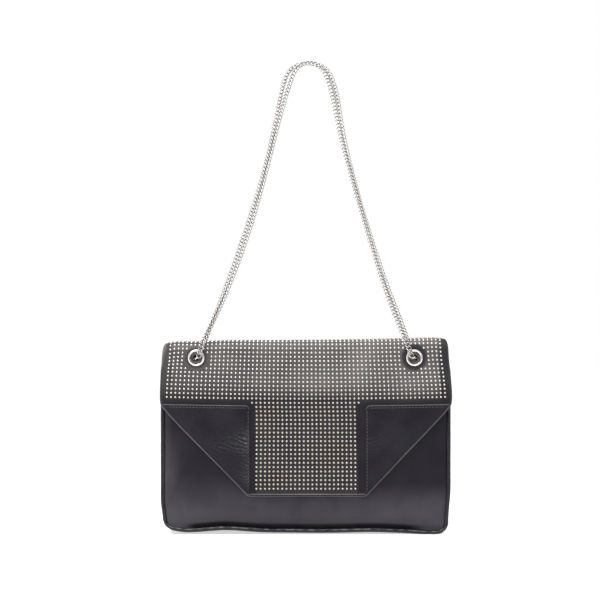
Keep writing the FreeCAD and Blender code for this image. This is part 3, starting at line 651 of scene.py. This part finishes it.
# Its pale tone is the painted light and highlights on the flap's outside
flap_calf = calf("flap_calf", black(0.016), (0.026, 0.0235, 0.027, 1), rough=0.54, grain=0.12,
                 painted_light_tone=(0.51, 0.473, 0.44, 1), shine=0.12)
SKIN_END = FLAP_ROOT + ROOT_LENGTH + ROOT_DROP
flap_outer = sheet("flap_skin", 170, 200,
                   flap_shape(depth=0.0, rise=EDGE_RIM, trim=0.0, root=SKIN_END, bead=0.5, painted_light_and_shade=skin_painted_light))
thicken(flap_outer, FLAP_SKIN, soften=0.35)
punch(flap_outer, FLAP_HOLES)
dress(flap_outer, flap_calf, None, "calf_leather", "flap_outer")
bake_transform(flap_outer)
LAYERS_END = FLAP_ROOT - 2
flap_core = sheet("flap_core", 90, 120,
                  flap_shape(depth=FLAP_SKIN + 0.05, rise=4.0, trim=2.2, root=LAYERS_END))
thicken(flap_core, FLAP_CORE - 0.1)
punch(flap_core, FLAP_HOLES)
dress(flap_core, lining_twill, "flap", "stiffener", "flap_reinforcement")
# Its pale tone is the painted highlight on the cut edge
rim_calf = calf("rim_calf", black(0.010), black(0.020), rough=0.42, grain=0.1,
                painted_light_tone=(0.205, 0.195, 0.225, 1))
flap_lining = sheet("flap_backing", 130, 150,
                    flap_shape(depth=FLAP_SKIN + FLAP_CORE, rise=0.0, trim=0.0, root=LAYERS_END,
                               painted_light_and_shade=rim_painted_highlight))
thicken(flap_lining, FLAP_BACKING, soften=0.2)
punch(flap_lining, FLAP_HOLES)
dress(flap_lining, rim_calf, "flap", "calf_leather", "flap_lining", inside=body_calf)


# Corner overlays: a grained calf triangle on each side of the tongue, its top and upright edges turned
# under and stitched. The stitches draw fine creases into the leather beside the upright edge.
OVERLAY = 1.2
OVERLAY_LOW, OVERLAY_TOP, OVERLAY_ROUND = 38.2, 124.0, 4.8
UPRIGHT_SEAM, TOP_SEAM = 1.6, 2.9
STITCH_PITCH, STITCH_LENGTH, STITCH_RADIUS, STITCH_SIDES = 3.2, 2.1, 0.27, 5


def overlay_width(side, inner_edge, climb):
    # From the upright edge to the flap's slanted edge
    return np.maximum(flap_half(climb, EDGE_RIM) + side * tongue_shift(climb) - inner_edge, 0.3)


def overlay_shape(side, inner_edge, drawn):
    # Turned edges stand up from the flap and the seams dip. The leather is drawn into creases beside the
    # upright edge, which carry painted highlights, as does the top edge, and its raised grain is paler.
    def shape(u, v):
        climb = OVERLAY_LOW + (OVERLAY_TOP - OVERLAY_LOW) * (1 - (1 - v) ** 1.9)
        width = overlay_width(side, inner_edge, climb)
        from_inner = u if side > 0 else 1 - u
        upright = width * (0.5 - 0.5 * np.cos(math.pi * from_inner))
        near = np.clip(1 - upright / OVERLAY_ROUND, 0, 1)
        top = OVERLAY_TOP - OVERLAY_ROUND * (1 - np.sqrt(1 - near * near))
        climb = np.minimum(climb, top)
        slant = (width - upright) * math.sqrt(0.5)
        turned = np.minimum(upright, top - climb)
        step = OVERLAY * np.sqrt(ease((np.minimum(turned, slant) + 0.1) / 0.9))
        roll = 0.35 * hump(turned - 0.8, 0.5)
        seam = 0.35 * hump(upright - UPRIGHT_SEAM, 0.4) * ease((top - climb) / 4)
        seam = seam + 0.35 * hump(top - climb - TOP_SEAM, 0.5) * ease(upright / 4)
        wave = (1.75 * (climb - 0.24 * upright) + 1.4 * np.sin(climb / 4.3 + upright / 9)
                + 0.9 * np.sin(upright / 2.2 - climb / 2.7))
        ripple = 0.6 * np.sin(wave) + 0.4 * np.sin(1.31 * wave + 2.1 + 0.8 * np.sin(upright / 3.7))
        reach = np.exp(-upright / (5 + 10 * hump(climb - 84, 12)))
        zone = ease((climb - 40) / 14) * ease((112 - climb) / 18) * (0.65 + 0.35 * np.sin(climb / 6.3))
        patches = 0.9 * np.sin(upright / 0.9 + climb / 2.3) * np.sin(upright / 2.6 - climb / 1.3 + 0.7)
        broken = 0.05 + 1.1 * ease(0.5 + patches)
        crease = drawn * reach * zone * ease((upright - UPRIGHT_SEAM) / 1.2) * ripple * broken
        grain = (np.sin(upright / 0.62 + 1.5 * np.sin(climb / 1.9))
                 * np.sin(climb / 0.57 + 1.6 * np.sin(upright / 2.3)))
        height = step + roll - seam + crease + 0.3 * ease((turned - 4) / 18)
        height = height + 0.015 * grain * ease(slant / 3)
        # Painted highlights along the top edge and on the creases
        painted_edge_highlight = 0.8 * hump(top - climb - 0.6, 0.45) + 0.2 * hump(upright - 0.6, 0.4)
        creased = 2.8 * crease + 0.9 * drawn * reach * zone
        painted_light_and_shade = np.maximum(painted_edge_highlight * (slant > 1), creased) + 0.03 * grain
        return *flap_place(side * (inner_edge + upright), climb, 0.1 - height), painted_light_and_shade
    return shape


def unit(vectors):
    # Each row made 1 long
    return vectors / np.linalg.norm(vectors, axis=1, keepdims=True)


def alike(name, points, faces, count):
    # One piece of many like shapes: all their points in turn, and the faces of the first
    size = len(points) // count
    mesh = bpy.data.meshes.new(name)
    mesh.from_pydata(points.tolist(), [], [tuple(corner + copy * size for corner in face)
                                          for copy in range(count) for face in faces])
    piece = bpy.data.objects.new(name, mesh)
    bpy.context.scene.collection.objects.link(piece)
    return piece


def stitches(name, ends, lift):
    # Short beads of thread between pairs of places (across, up) on the flap, standing this far out
    one, two = (np.stack(flap_place(*np.array(end).T, -lift), axis=1) for end in zip(*ends))
    along = unit(two - one)
    side = np.cross(along, (0.0, -1.0, 0.0))
    out = np.cross(side, along)
    turns = np.arange(STITCH_SIDES) * 2 * math.pi / STITCH_SIDES
    rounds = [STITCH_RADIUS * (side * math.cos(turn) + out * math.sin(turn)) for turn in turns]
    corners = [one - 0.2 * along, *(one + 0.25 * along + ring for ring in rounds),
               *(two - 0.25 * along + ring for ring in rounds), two + 0.2 * along]
    faces = []
    tip = len(corners) - 1
    for corner in range(STITCH_SIDES):
        near, near_next = 1 + corner, 1 + (corner + 1) % STITCH_SIDES
        far, far_next = near + STITCH_SIDES, near_next + STITCH_SIDES
        faces += [(0, near_next, near), (near, near_next, far_next, far), (tip, far, far_next)]
    return alike(name, np.stack(corners, axis=1).reshape(-1, 3) * MM, faces, len(ends))


def stitch_ends(side, inner_edge):
    # Both seams of an overlay, a little aslant along the upright one
    ends = []
    half = STITCH_LENGTH / 2
    for climb in np.arange(OVERLAY_LOW + 5, OVERLAY_TOP - 5, STITCH_PITCH):
        x = inner_edge + UPRIGHT_SEAM
        ends.append(((side * (x + 0.3), climb - half), (side * (x - 0.3), climb + half)))
    climb = OVERLAY_TOP - TOP_SEAM
    for x in np.arange(inner_edge + 6, CORNER_HALF - 9, STITCH_PITCH):
        ends.append(((side * (x - half), climb), (side * (x + half), climb)))
    return ends


# Its pale tone is the painted highlights on the edges and creases
overlay_calf = calf("overlay_calf", black(0.007), black(0.02), rough=0.44, grain=0.55,
                    painted_light_tone=grey(0.2))
thread, thread_surface, thread_here = finish("thread", {"Specular IOR Level": 0.3})
feed(thread_surface, "Base Color", thread_here.noise(3000.0).tint(grey(0.08), grey(0.15)))
feed(thread_surface, "Roughness", 0.5 + 0.2 * thread_here.noise(2000.0))
for side, name, inner_edge, drawn in ((-1, "left", 53.4, 0.33), (1, "right", 57.9, 0.04)):
    overlay = sheet(f"flap_corner_{name}_overlay", 130, 220, overlay_shape(side, inner_edge, drawn))
    dress(overlay, overlay_calf, "flap", "overlay_leather", f"flap_corner_{name}", angle=60)
    seam = stitches(f"{name}_stitches", stitch_ends(side, inner_edge), OVERLAY - 0.25)
    seam.data.materials.append(thread)
    pick(overlay)
    seam.select_set(True)
    bpy.ops.object.join()


# Studs: small polished metal domes, fixed through the leather in a square grid on the flap.
# The grid widens a little towards the tongue and leaves a ring clear round each eyelet.
STUD_RADIUS, STUD_RISE, STUD_PITCH = 1.05, 0.7, 4.1
TONGUE_STRETCH, STUD_SHIFT = 1.0155, 0.6
BAND_LOW, BAND_COLUMNS = 130.5, 66
TONGUE_COLUMNS, TONGUE_ROWS = 24, 20
EYELET_CLEAR = 12.4
DOME_SIDES = 9
DOME_RINGS = ((1.0, -0.12), (0.94, 0.34), (0.6, 0.8))


def stud_rows():
    # Rows of (place across, distance up the flap) for the tongue, the band and the top
    rows = {"tongue": [], "band": [], "top": []}
    top_rows = int((FLAP_ROOT - 7 - BAND_LOW) / STUD_PITCH) + 1
    for row in range(-TONGUE_ROWS - 1, top_rows):
        columns = BAND_COLUMNS if row >= 0 else TONGUE_COLUMNS + (2 if row == -1 else 0)
        climb = BAND_LOW + row * STUD_PITCH * (TONGUE_STRETCH if row < 0 else 1)
        part = "tongue" if row < 0 else "band" if climb < BEND_START + BEND_LENGTH else "top"
        widen = 1.0 - 0.027 * ease((climb - 128) / 62) + 0.0115 * ease((118 - climb) / 80)
        for column in range(columns):
            x = (column - (columns - 1) / 2) * STUD_PITCH * widen + STUD_SHIFT * ease((128 - climb) / 20)
            place = climb - (0.02 + 0.018 * x / EYELET_X) * max(climb - BAND_LOW, 0)
            if math.hypot(abs(x) - EYELET_X, place - EYELET_Z) > EYELET_CLEAR:
                rows[part].append((x, place))
    return rows


def stud_mesh(name, places):
    # Low domes standing on the flap's outside, each with its own tone
    x, climb = np.array(places).T
    spot = np.stack(flap_place(x, climb, 0.0), axis=1)
    across = unit(np.stack(flap_place(x + 0.5, climb, 0.0), axis=1) - spot)
    along = np.stack(flap_place(x, climb + 0.5, 0.0), axis=1) - spot
    out = unit(np.cross(across, along))
    along = np.cross(out, across)
    corners = []
    for share, rise in DOME_RINGS:
        for turn in np.arange(DOME_SIDES) * 2 * math.pi / DOME_SIDES:
            reach = STUD_RADIUS * share
            corners.append(spot + across * reach * math.cos(turn) + along * reach * math.sin(turn)
                           + out * STUD_RISE * rise)
    corners.append(spot + out * STUD_RISE)
    faces = []
    for ring in range(len(DOME_RINGS) - 1):
        for side in range(DOME_SIDES):
            low = ring * DOME_SIDES + side
            after = ring * DOME_SIDES + (side + 1) % DOME_SIDES
            faces.append((low, after, after + DOME_SIDES, low + DOME_SIDES))
    last = (len(DOME_RINGS) - 1) * DOME_SIDES
    tip = last + DOME_SIDES
    faces.extend((last + side, last + (side + 1) % DOME_SIDES, tip) for side in range(DOME_SIDES))
    piece = alike(name, np.stack(corners, axis=1).reshape(-1, 3) * MM, faces, len(places))
    tone = piece.data.attributes.new("stud_tone", "FLOAT", "POINT")
    chance = np.random.default_rng(11).random(len(places))
    draws = 0.3 * chance + 0.35 * (1 + np.sin(x / 31 + climb / 19) * np.sin(x / 14 - climb / 23))
    tone.data.foreach_set("value", np.repeat(draws, len(corners)).astype(np.float32))
    return piece


stud_metal, stud_surface, stud_here = finish("stud_metal", {"Metallic": 1.0})
stud_tone = stud_here.attribute("stud_tone")
stud_wear = stud_here.noise(700.0, 2.0)
stud_plate = stud_tone.window(0.4, 1.0).tint((0.63, 0.575, 0.525, 1), (0.64, 0.55, 0.43, 1))
# Painted light: studs in the band below the top are painted brighter than those lower down
stud_height = stud_here.axis("Z")
stud_band_painted_light = stud_height.window(0.118, 0.150) * stud_height.window(0.190, 0.180, 0.2, 1.0)
feed(stud_surface, "Base Color", stud_band_painted_light.tint(stud_plate, (0.71, 0.685, 0.67, 1)))
feed(stud_surface, "Roughness", 0.24 + stud_wear * 0.16 + stud_tone * 0.08)
for part, places in stud_rows().items():
    studs = stud_mesh(f"flap_studs_{part}", places)
    dress(studs, stud_metal, "flap", "stud_metal", f"studs_{part}", angle=80)


# Eyelets: turned and plated, each with a rolled flange outside and a dish that narrows to the chain,
# painted dull brown as painted shade.
# A plain washer behind each one clamps the layers. Their outlines are pairs of radius and depth.
EYELET_LIP = ((8.1, 0.05), (8.1, -0.5), (7.75, -1.1), (7.0, -1.4), (6.3, -1.3), (5.75, -0.8),
              (5.3, -0.2), (2.8, 1.2))
EYELET_MOUTH, EYELET_BARREL = 2.7, 6.3
DISH_RIM = 5.9
FRONT_BARREL, BACK_BARREL = 3.7, 4.6


def plating(name, colour, rough):
    # Nickel with fine scratches and haze, painted brown and dull as painted shade where its painted mark is
    # above 0
    material, surface, here = finish(name, {"Metallic": 1.0})
    scratch = here.noise(1500.0, 4.0).window(0.4, 0.75)
    haze = here.noise(120.0, 3.0)
    dull = tuple(0.82 * channel for channel in colour[:3]) + (1.0,)
    painted_light_and_shade = here.attribute("painted_light_and_shade")
    plate = (haze * 0.5 + scratch * 0.3).tint(colour, dull)
    feed(surface, "Base Color", painted_light_and_shade.tint(plate, (0.2, 0.175, 0.17, 1)))
    feed(surface, "Roughness", rough + scratch * 0.1 + haze * 0.08 + painted_light_and_shade * 0.2)
    feed(surface, "Normal", scratch.bump(0.04, 0.0001))
    return material


def eyelet_shape(x, face, z, inwards, barrel):
    # Turned about an axis along Y, from the flange's underside over the lip and back along the barrel
    inside = ((EYELET_MOUTH, barrel), (EYELET_BARREL, barrel), (EYELET_BARREL, 0.05))
    profile = EYELET_LIP + inside + EYELET_LIP[:1]
    radius, depth = np.array(profile).T
    corners = np.arange(len(profile)) / (len(profile) - 1)

    def shape(u, v):
        reach = np.interp(v, corners, radius)
        y = face + inwards * np.interp(v, corners, depth)
        turn = 2 * math.pi * u
        # The last value is painted shade, in the dish inside DISH_RIM
        return x + reach * np.cos(turn), y, z + reach * np.sin(turn), ease((DISH_RIM - reach) / 0.7)
    return shape


polished = plating("polished_nickel", (0.88, 0.855, 0.84, 1), rough=0.14)
EYELET_PAIRS = (("front", FLAP_FACE, EYELET_Z, 1, FRONT_BARREL, "flap"),
                ("back", BACK_FACE, BACK_EYELET_Z, -1, BACK_BARREL, "bag"))
for wall, face, height, inwards, barrel, body in EYELET_PAIRS:
    for sign, side in ((-1, "left"), (1, "right")):
        turned = eyelet_shape(sign * EYELET_X, face, height, inwards, barrel)
        ring = sheet(f"{wall}_{side}_eyelet", 56, 33, turned)
        close_tube(ring)
        dress(ring, polished, body, "polished_metal", f"{wall}_eyelet_{side}", angle=50)


# Snap, washers and base board: their CAD shapes are kept.
# The metal is plainly plated, and the base board has the same woven cover as the walls' boards.
plain_plate = plating("plain_nickel", (0.62, 0.61, 0.6, 1), rough=0.3)
for name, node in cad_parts.items():
    if "washer" in name or "snap" in name or "board" in name:
        node.data.materials.clear()
        node.data.materials.append(stiffener if "board" in name else plain_plate)


# Chain: one run of polished curb links, threaded through the four eyelets.
# Two strands stand up over the bag to a common top, and two short stretches cross inside it.
LINK_PITCH, LINK_WIRE, LINK_WIDTH = 3.5, 1.15, 5.4
LINK_TWIST = math.radians(44)
LINK_STEPS, LINK_SIDES = 12, 5
# Links that run in a front eyelet get painted shade between these depths, this strong
EYELET_SHADE_FRONT, EYELET_SHADE_BACK, EYELET_SHADE_LEVEL = -35.2, -26, 0.62
FRONT_EYE_Y, BACK_EYE_Y = -35.5, 34.2
EYELET_STEP = EYELET_Z - BACK_EYELET_Z
FRONT_LEAN, BACK_LEAN = 0.1142, -0.1091
FRONT_ROLL, BACK_ROLL, INNER_ROLL = 0.25, -0.35, 0.6
FRONT_ROUTE = [(-102.6, 0), (-100.4, 11), (-91.2, 30), (-73.4, 68), (-53.4, 123), (-38.8, 176),
               (-25.8, 229), (-16.8, 261), (-7.7, 285.8), (15, 285.8), (25.2, 262), (32.8, 221),
               (44.4, 176), (59.5, 123), (76.8, 66), (90.3, 30), (99.4, 11), (102.4, 0)]
BACK_ROUTE = [(-104, 0), (-102.5, 16), (-93.8, 38), (-78.2, 78), (-58.8, 133), (-41.8, 186),
              (-29.6, 237), (-23.2, 272), (-14, 296), (19.5, 296), (30.8, 271), (36.1, 231),
              (46.6, 186), (62.2, 133), (80.8, 78), (96.6, 39), (103.5, 16), (104, 0)]
INNER_ROUTE = [(106, -32, 168.5), (105, -22, 167), (104.8, 10, 162)]


def strand_line(name, points):
    # The smooth line of a strand, read from a NURBS spline with the route as its control points
    curve = bpy.data.curves.new(name, "CURVE")
    curve.dimensions = "3D"
    curve.resolution_u = 24
    spline = curve.splines.new("NURBS")
    spline.points.add(len(points) - 1)
    for control, point in zip(spline.points, points):
        control.co = (*(MM * part for part in point), 1.0)
    spline.order_u = 3
    spline.use_endpoint_u = True
    carrier = bpy.data.objects.new(name, curve)
    bpy.context.scene.collection.objects.link(carrier)
    bpy.context.view_layer.update()
    drawn = bpy.data.meshes.new_from_object(carrier)
    line = np.array([vertex.co for vertex in drawn.vertices])
    bpy.data.objects.remove(carrier)
    return line


def link_chain(name, line, facing, roll, painted_eyelet_shade):
    # Twisted oval links at equal steps along the line, with painted shade on the inner side of their wire.
    # A painted eyelet shade of 1 also darkens those that run in a front eyelet, as painted shade.
    steps = np.linalg.norm(np.diff(line, axis=0), axis=1)
    gone = np.concatenate([[0], np.cumsum(steps)])
    half_length = (LINK_PITCH + LINK_WIRE + 0.2) / 2 * MM
    half_width = (LINK_WIDTH - LINK_WIRE) / 2 * MM
    wire = LINK_WIRE / 2 * MM
    count = round((gone[-1] - 2 * half_length) / (LINK_PITCH * MM)) + 1
    stops = np.linspace(half_length, gone[-1] - half_length, count)

    def at(distance):
        return np.stack([np.interp(distance, gone, line[:, axis]) for axis in range(3)], axis=1)

    centre = at(stops)
    along = unit(at(np.minimum(stops + half_length, gone[-1])) - at(np.maximum(stops - half_length, 0)))
    front = unit(np.array(facing) - along * (along @ np.array(facing))[:, None])
    side = np.cross(along, front)
    turn = np.arange(LINK_STEPS) * 2 * math.pi / LINK_STEPS
    twist = LINK_TWIST * np.cos(turn) + roll
    oval = np.stack([half_length * np.cos(turn), half_width * np.sin(turn) * np.cos(twist),
                     half_width * np.sin(turn) * np.sin(twist)], axis=1)
    ahead = unit(np.roll(oval, -1, axis=0) - np.roll(oval, 1, axis=0))
    away = unit(oval)
    away = unit(away - ahead * np.sum(away * ahead, axis=1)[:, None])
    up = np.cross(ahead, away)
    round_wire = np.arange(LINK_SIDES) * 2 * math.pi / LINK_SIDES
    ring = []
    for spot, outward, upward in zip(oval, away, up):
        for angle in round_wire:
            ring.append(spot + wire * (outward * math.cos(angle) + upward * math.sin(angle)))
    ring = np.array(ring)
    points = (centre[:, None] + ring[None, :, :1] * along[:, None] + ring[None, :, 1:2] * side[:, None]
              + ring[None, :, 2:] * front[:, None]).reshape(-1, 3)
    faces = []
    for step in range(LINK_STEPS):
        for corner in range(LINK_SIDES):
            one = step * LINK_SIDES + corner
            two = step * LINK_SIDES + (corner + 1) % LINK_SIDES
            after = ((step + 1) % LINK_STEPS - step) * LINK_SIDES
            faces.append((one, one + after, two + after, two))
    piece = alike(name, points, faces, count)
    depth = points[:, 1] / MM
    in_eyelet = ease((depth - EYELET_SHADE_FRONT) / 2.5) * (1 - ease((depth - EYELET_SHADE_BACK) / 6))
    inward = np.tile(0.5 - 0.5 * np.cos(round_wire), LINK_STEPS * count)
    inward = np.maximum(inward, EYELET_SHADE_LEVEL * in_eyelet * painted_eyelet_shade)
    tone = piece.data.attributes.new("inward", "FLOAT", "POINT")
    tone.data.foreach_set("value", inward.astype(np.float32))
    pick(piece)
    bpy.ops.object.mode_set(mode="EDIT")
    bpy.ops.mesh.select_all(action="SELECT")
    bpy.ops.mesh.normals_make_consistent(inside=False)
    bpy.ops.object.mode_set(mode="OBJECT")
    return piece, gone[-1]


chain_nickel, chain_surface, chain_here = finish("chain_nickel", {"Metallic": 1.0})
chain_inward = chain_here.attribute("inward")
chain_wear = chain_here.noise(900.0, 2.0)
# Painted shade: darker on the links' inner sides and inside the front eyelets
chain_tone = chain_inward.window(0.1, 0.85).tint((0.74, 0.715, 0.70, 1), (0.09, 0.085, 0.08, 1))
feed(chain_surface, "Base Color", chain_tone)
feed(chain_surface, "Roughness", 0.16 + chain_wear * 0.16)


def hang(name, points, facing, roll, body, node, painted_eyelet_shade=0.0):
    # A stretch of chain along its points
    line = strand_line(f"{name}_line", points)
    links, length = link_chain(name, line, facing, roll, painted_eyelet_shade)
    dress(links, chain_nickel, body, "polished_metal", node, angle=80)
    return links


front_points = [(x, FRONT_EYE_Y + rise * FRONT_LEAN, EYELET_Z + rise) for x, rise in FRONT_ROUTE]
hang("front_strand_links", front_points, (0, -1, FRONT_LEAN), FRONT_ROLL, "front_strand", "chain_front")
back_points = [(x, BACK_EYE_Y + max(rise - EYELET_STEP, 0) * BACK_LEAN, BACK_EYELET_Z + rise)
               for x, rise in BACK_ROUTE]
hang("back_strand_links", back_points, (0, -1, BACK_LEAN), BACK_ROLL, "back_strand", "chain_back")
for sign, side, end in ((-1, "left", 0), (1, "right", -1)):
    points = [front_points[end], *((sign * x, y, z) for x, y, z in INNER_ROUTE), back_points[end]]
    inner = hang(f"inner_links_{side}", points, (0, 0, 1), INNER_ROLL, None, f"chain_inner_{side}",
                 painted_eyelet_shade=1.0)
    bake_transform(inner)


# Studio: a pale floor, a white surround, soft light from above, and a level camera in front.
# Floor and surround look whiter than the light they throw on the bag.
FLOOR_HALF, FLOOR_Z = 6.0, -0.0016
FLOOR_GLOW, SKY_LIGHT = 0.62, 0.5


def in_sight(shade):
    # 1 where the camera sees the surface, straight or in a reflection, and 0 where it only gives light
    camera_ray, glossy_ray, through_ray = (shade.node("ShaderNodeLightPath", (), (), f"Is {kind} Ray")
                                           for kind in ("Camera", "Glossy", "Transmission"))
    return shade.maths("MINIMUM", camera_ray + glossy_ray + through_ray, 1.0)


bpy.ops.object.select_all(action="DESELECT")
bpy.ops.mesh.primitive_grid_add(x_subdivisions=8, y_subdivisions=8, size=2 * FLOOR_HALF)
floor = bpy.context.object
floor.name = "floor"
floor.location.z = FLOOR_Z
floor_matt = {"Base Color": grey(0.8), "Roughness": 0.9}
floor_white, floor_surface, floor_here = finish("floor_white", floor_matt)
seen = in_sight(floor_here)
floor_glow = seen.node("ShaderNodeEmission", (), {"Color": grey(1.0), "Strength": seen * FLOOR_GLOW})
floor_sum = seen.node("ShaderNodeAddShader", (), {0: Shade(floor_surface.outputs[0]), 1: floor_glow})
feed(floor_white.node_tree.nodes["Material Output"], "Surface", floor_sum)
floor.data.materials.append(floor_white)

world = bpy.data.worlds.new("studio")
bpy.context.scene.world = world
world.use_nodes = True
sky = world.node_tree.nodes["Background"]
sky.inputs["Color"].default_value = (1, 1, 1, 1)
feed(sky, "Strength", in_sight(Shade(sky.outputs[0])) * (1 - SKY_LIGHT) + SKY_LIGHT)


# Curtain: the unlit side of the room behind the camera, kept out of its view.
# It darkens what the leather and the metal reflect.
CURTAIN_PLACE, CURTAIN_HALF = (1.5, -3.2, 0.5), (2.5, 0.5, 1.0)
bpy.ops.object.select_all(action="DESELECT")
bpy.ops.mesh.primitive_grid_add(x_subdivisions=4, y_subdivisions=4, size=2, location=CURTAIN_PLACE,
                                rotation=(math.pi / 2, 0, 0))
curtain = bpy.context.object
curtain.name = "room_curtain"
curtain.scale = CURTAIN_HALF
curtain.visible_camera = False
bpy.ops.object.transform_apply(location=True, rotation=True, scale=True)
curtain_grey, curtain_surface, curtain_here = finish("curtain_grey", {"Roughness": 0.9})
feed(curtain_surface, "Base Color", curtain_here.noise(3.0).tint(grey(0.05), grey(0.08)))
curtain.data.materials.append(curtain_grey)


def softbox(name, place, aim, size, power):
    # A soft rectangular light, aimed at a point on the bag
    lamp = bpy.data.lights.new(name, "AREA")
    lamp.shape = "RECTANGLE"
    lamp.size, lamp.size_y = size
    lamp.energy = power
    holder = bpy.data.objects.new(name, lamp)
    bpy.context.scene.collection.objects.link(holder)
    holder.location = place
    holder.rotation_euler = (Vector(aim) - Vector(place)).to_track_quat("-Z", "Y").to_euler()


BAG_MIDDLE = (0, 0, 0.15)
softbox("key_box", place=(-0.7, -1.1, 1.7), aim=BAG_MIDDLE, size=(1.4, 1.0), power=26)
softbox("top_box", place=(0.2, 0.1, 1.9), aim=BAG_MIDDLE, size=(1.6, 1.2), power=16)

CAMERA_BACK, CAMERA_X, CAMERA_Z = 2.6, -0.0051, 0.2246
FRAME_WIDTH, FRONT_PLANE = 0.5772, -0.0307
SENSOR, FAR_CLIP = 36.0, 60.0
camera_data = bpy.data.cameras.new("camera")
camera_data.sensor_width = SENSOR
camera_data.lens = SENSOR * CAMERA_BACK / FRAME_WIDTH
camera_data.clip_end = FAR_CLIP
camera = bpy.data.objects.new("camera", camera_data)
bpy.context.scene.collection.objects.link(camera)
camera.location = (CAMERA_X, FRONT_PLANE - CAMERA_BACK, CAMERA_Z)
camera.rotation_euler = (math.pi / 2, 0, 0)
bpy.context.scene.camera = camera
bpy.context.scene.view_settings.view_transform = "Standard"
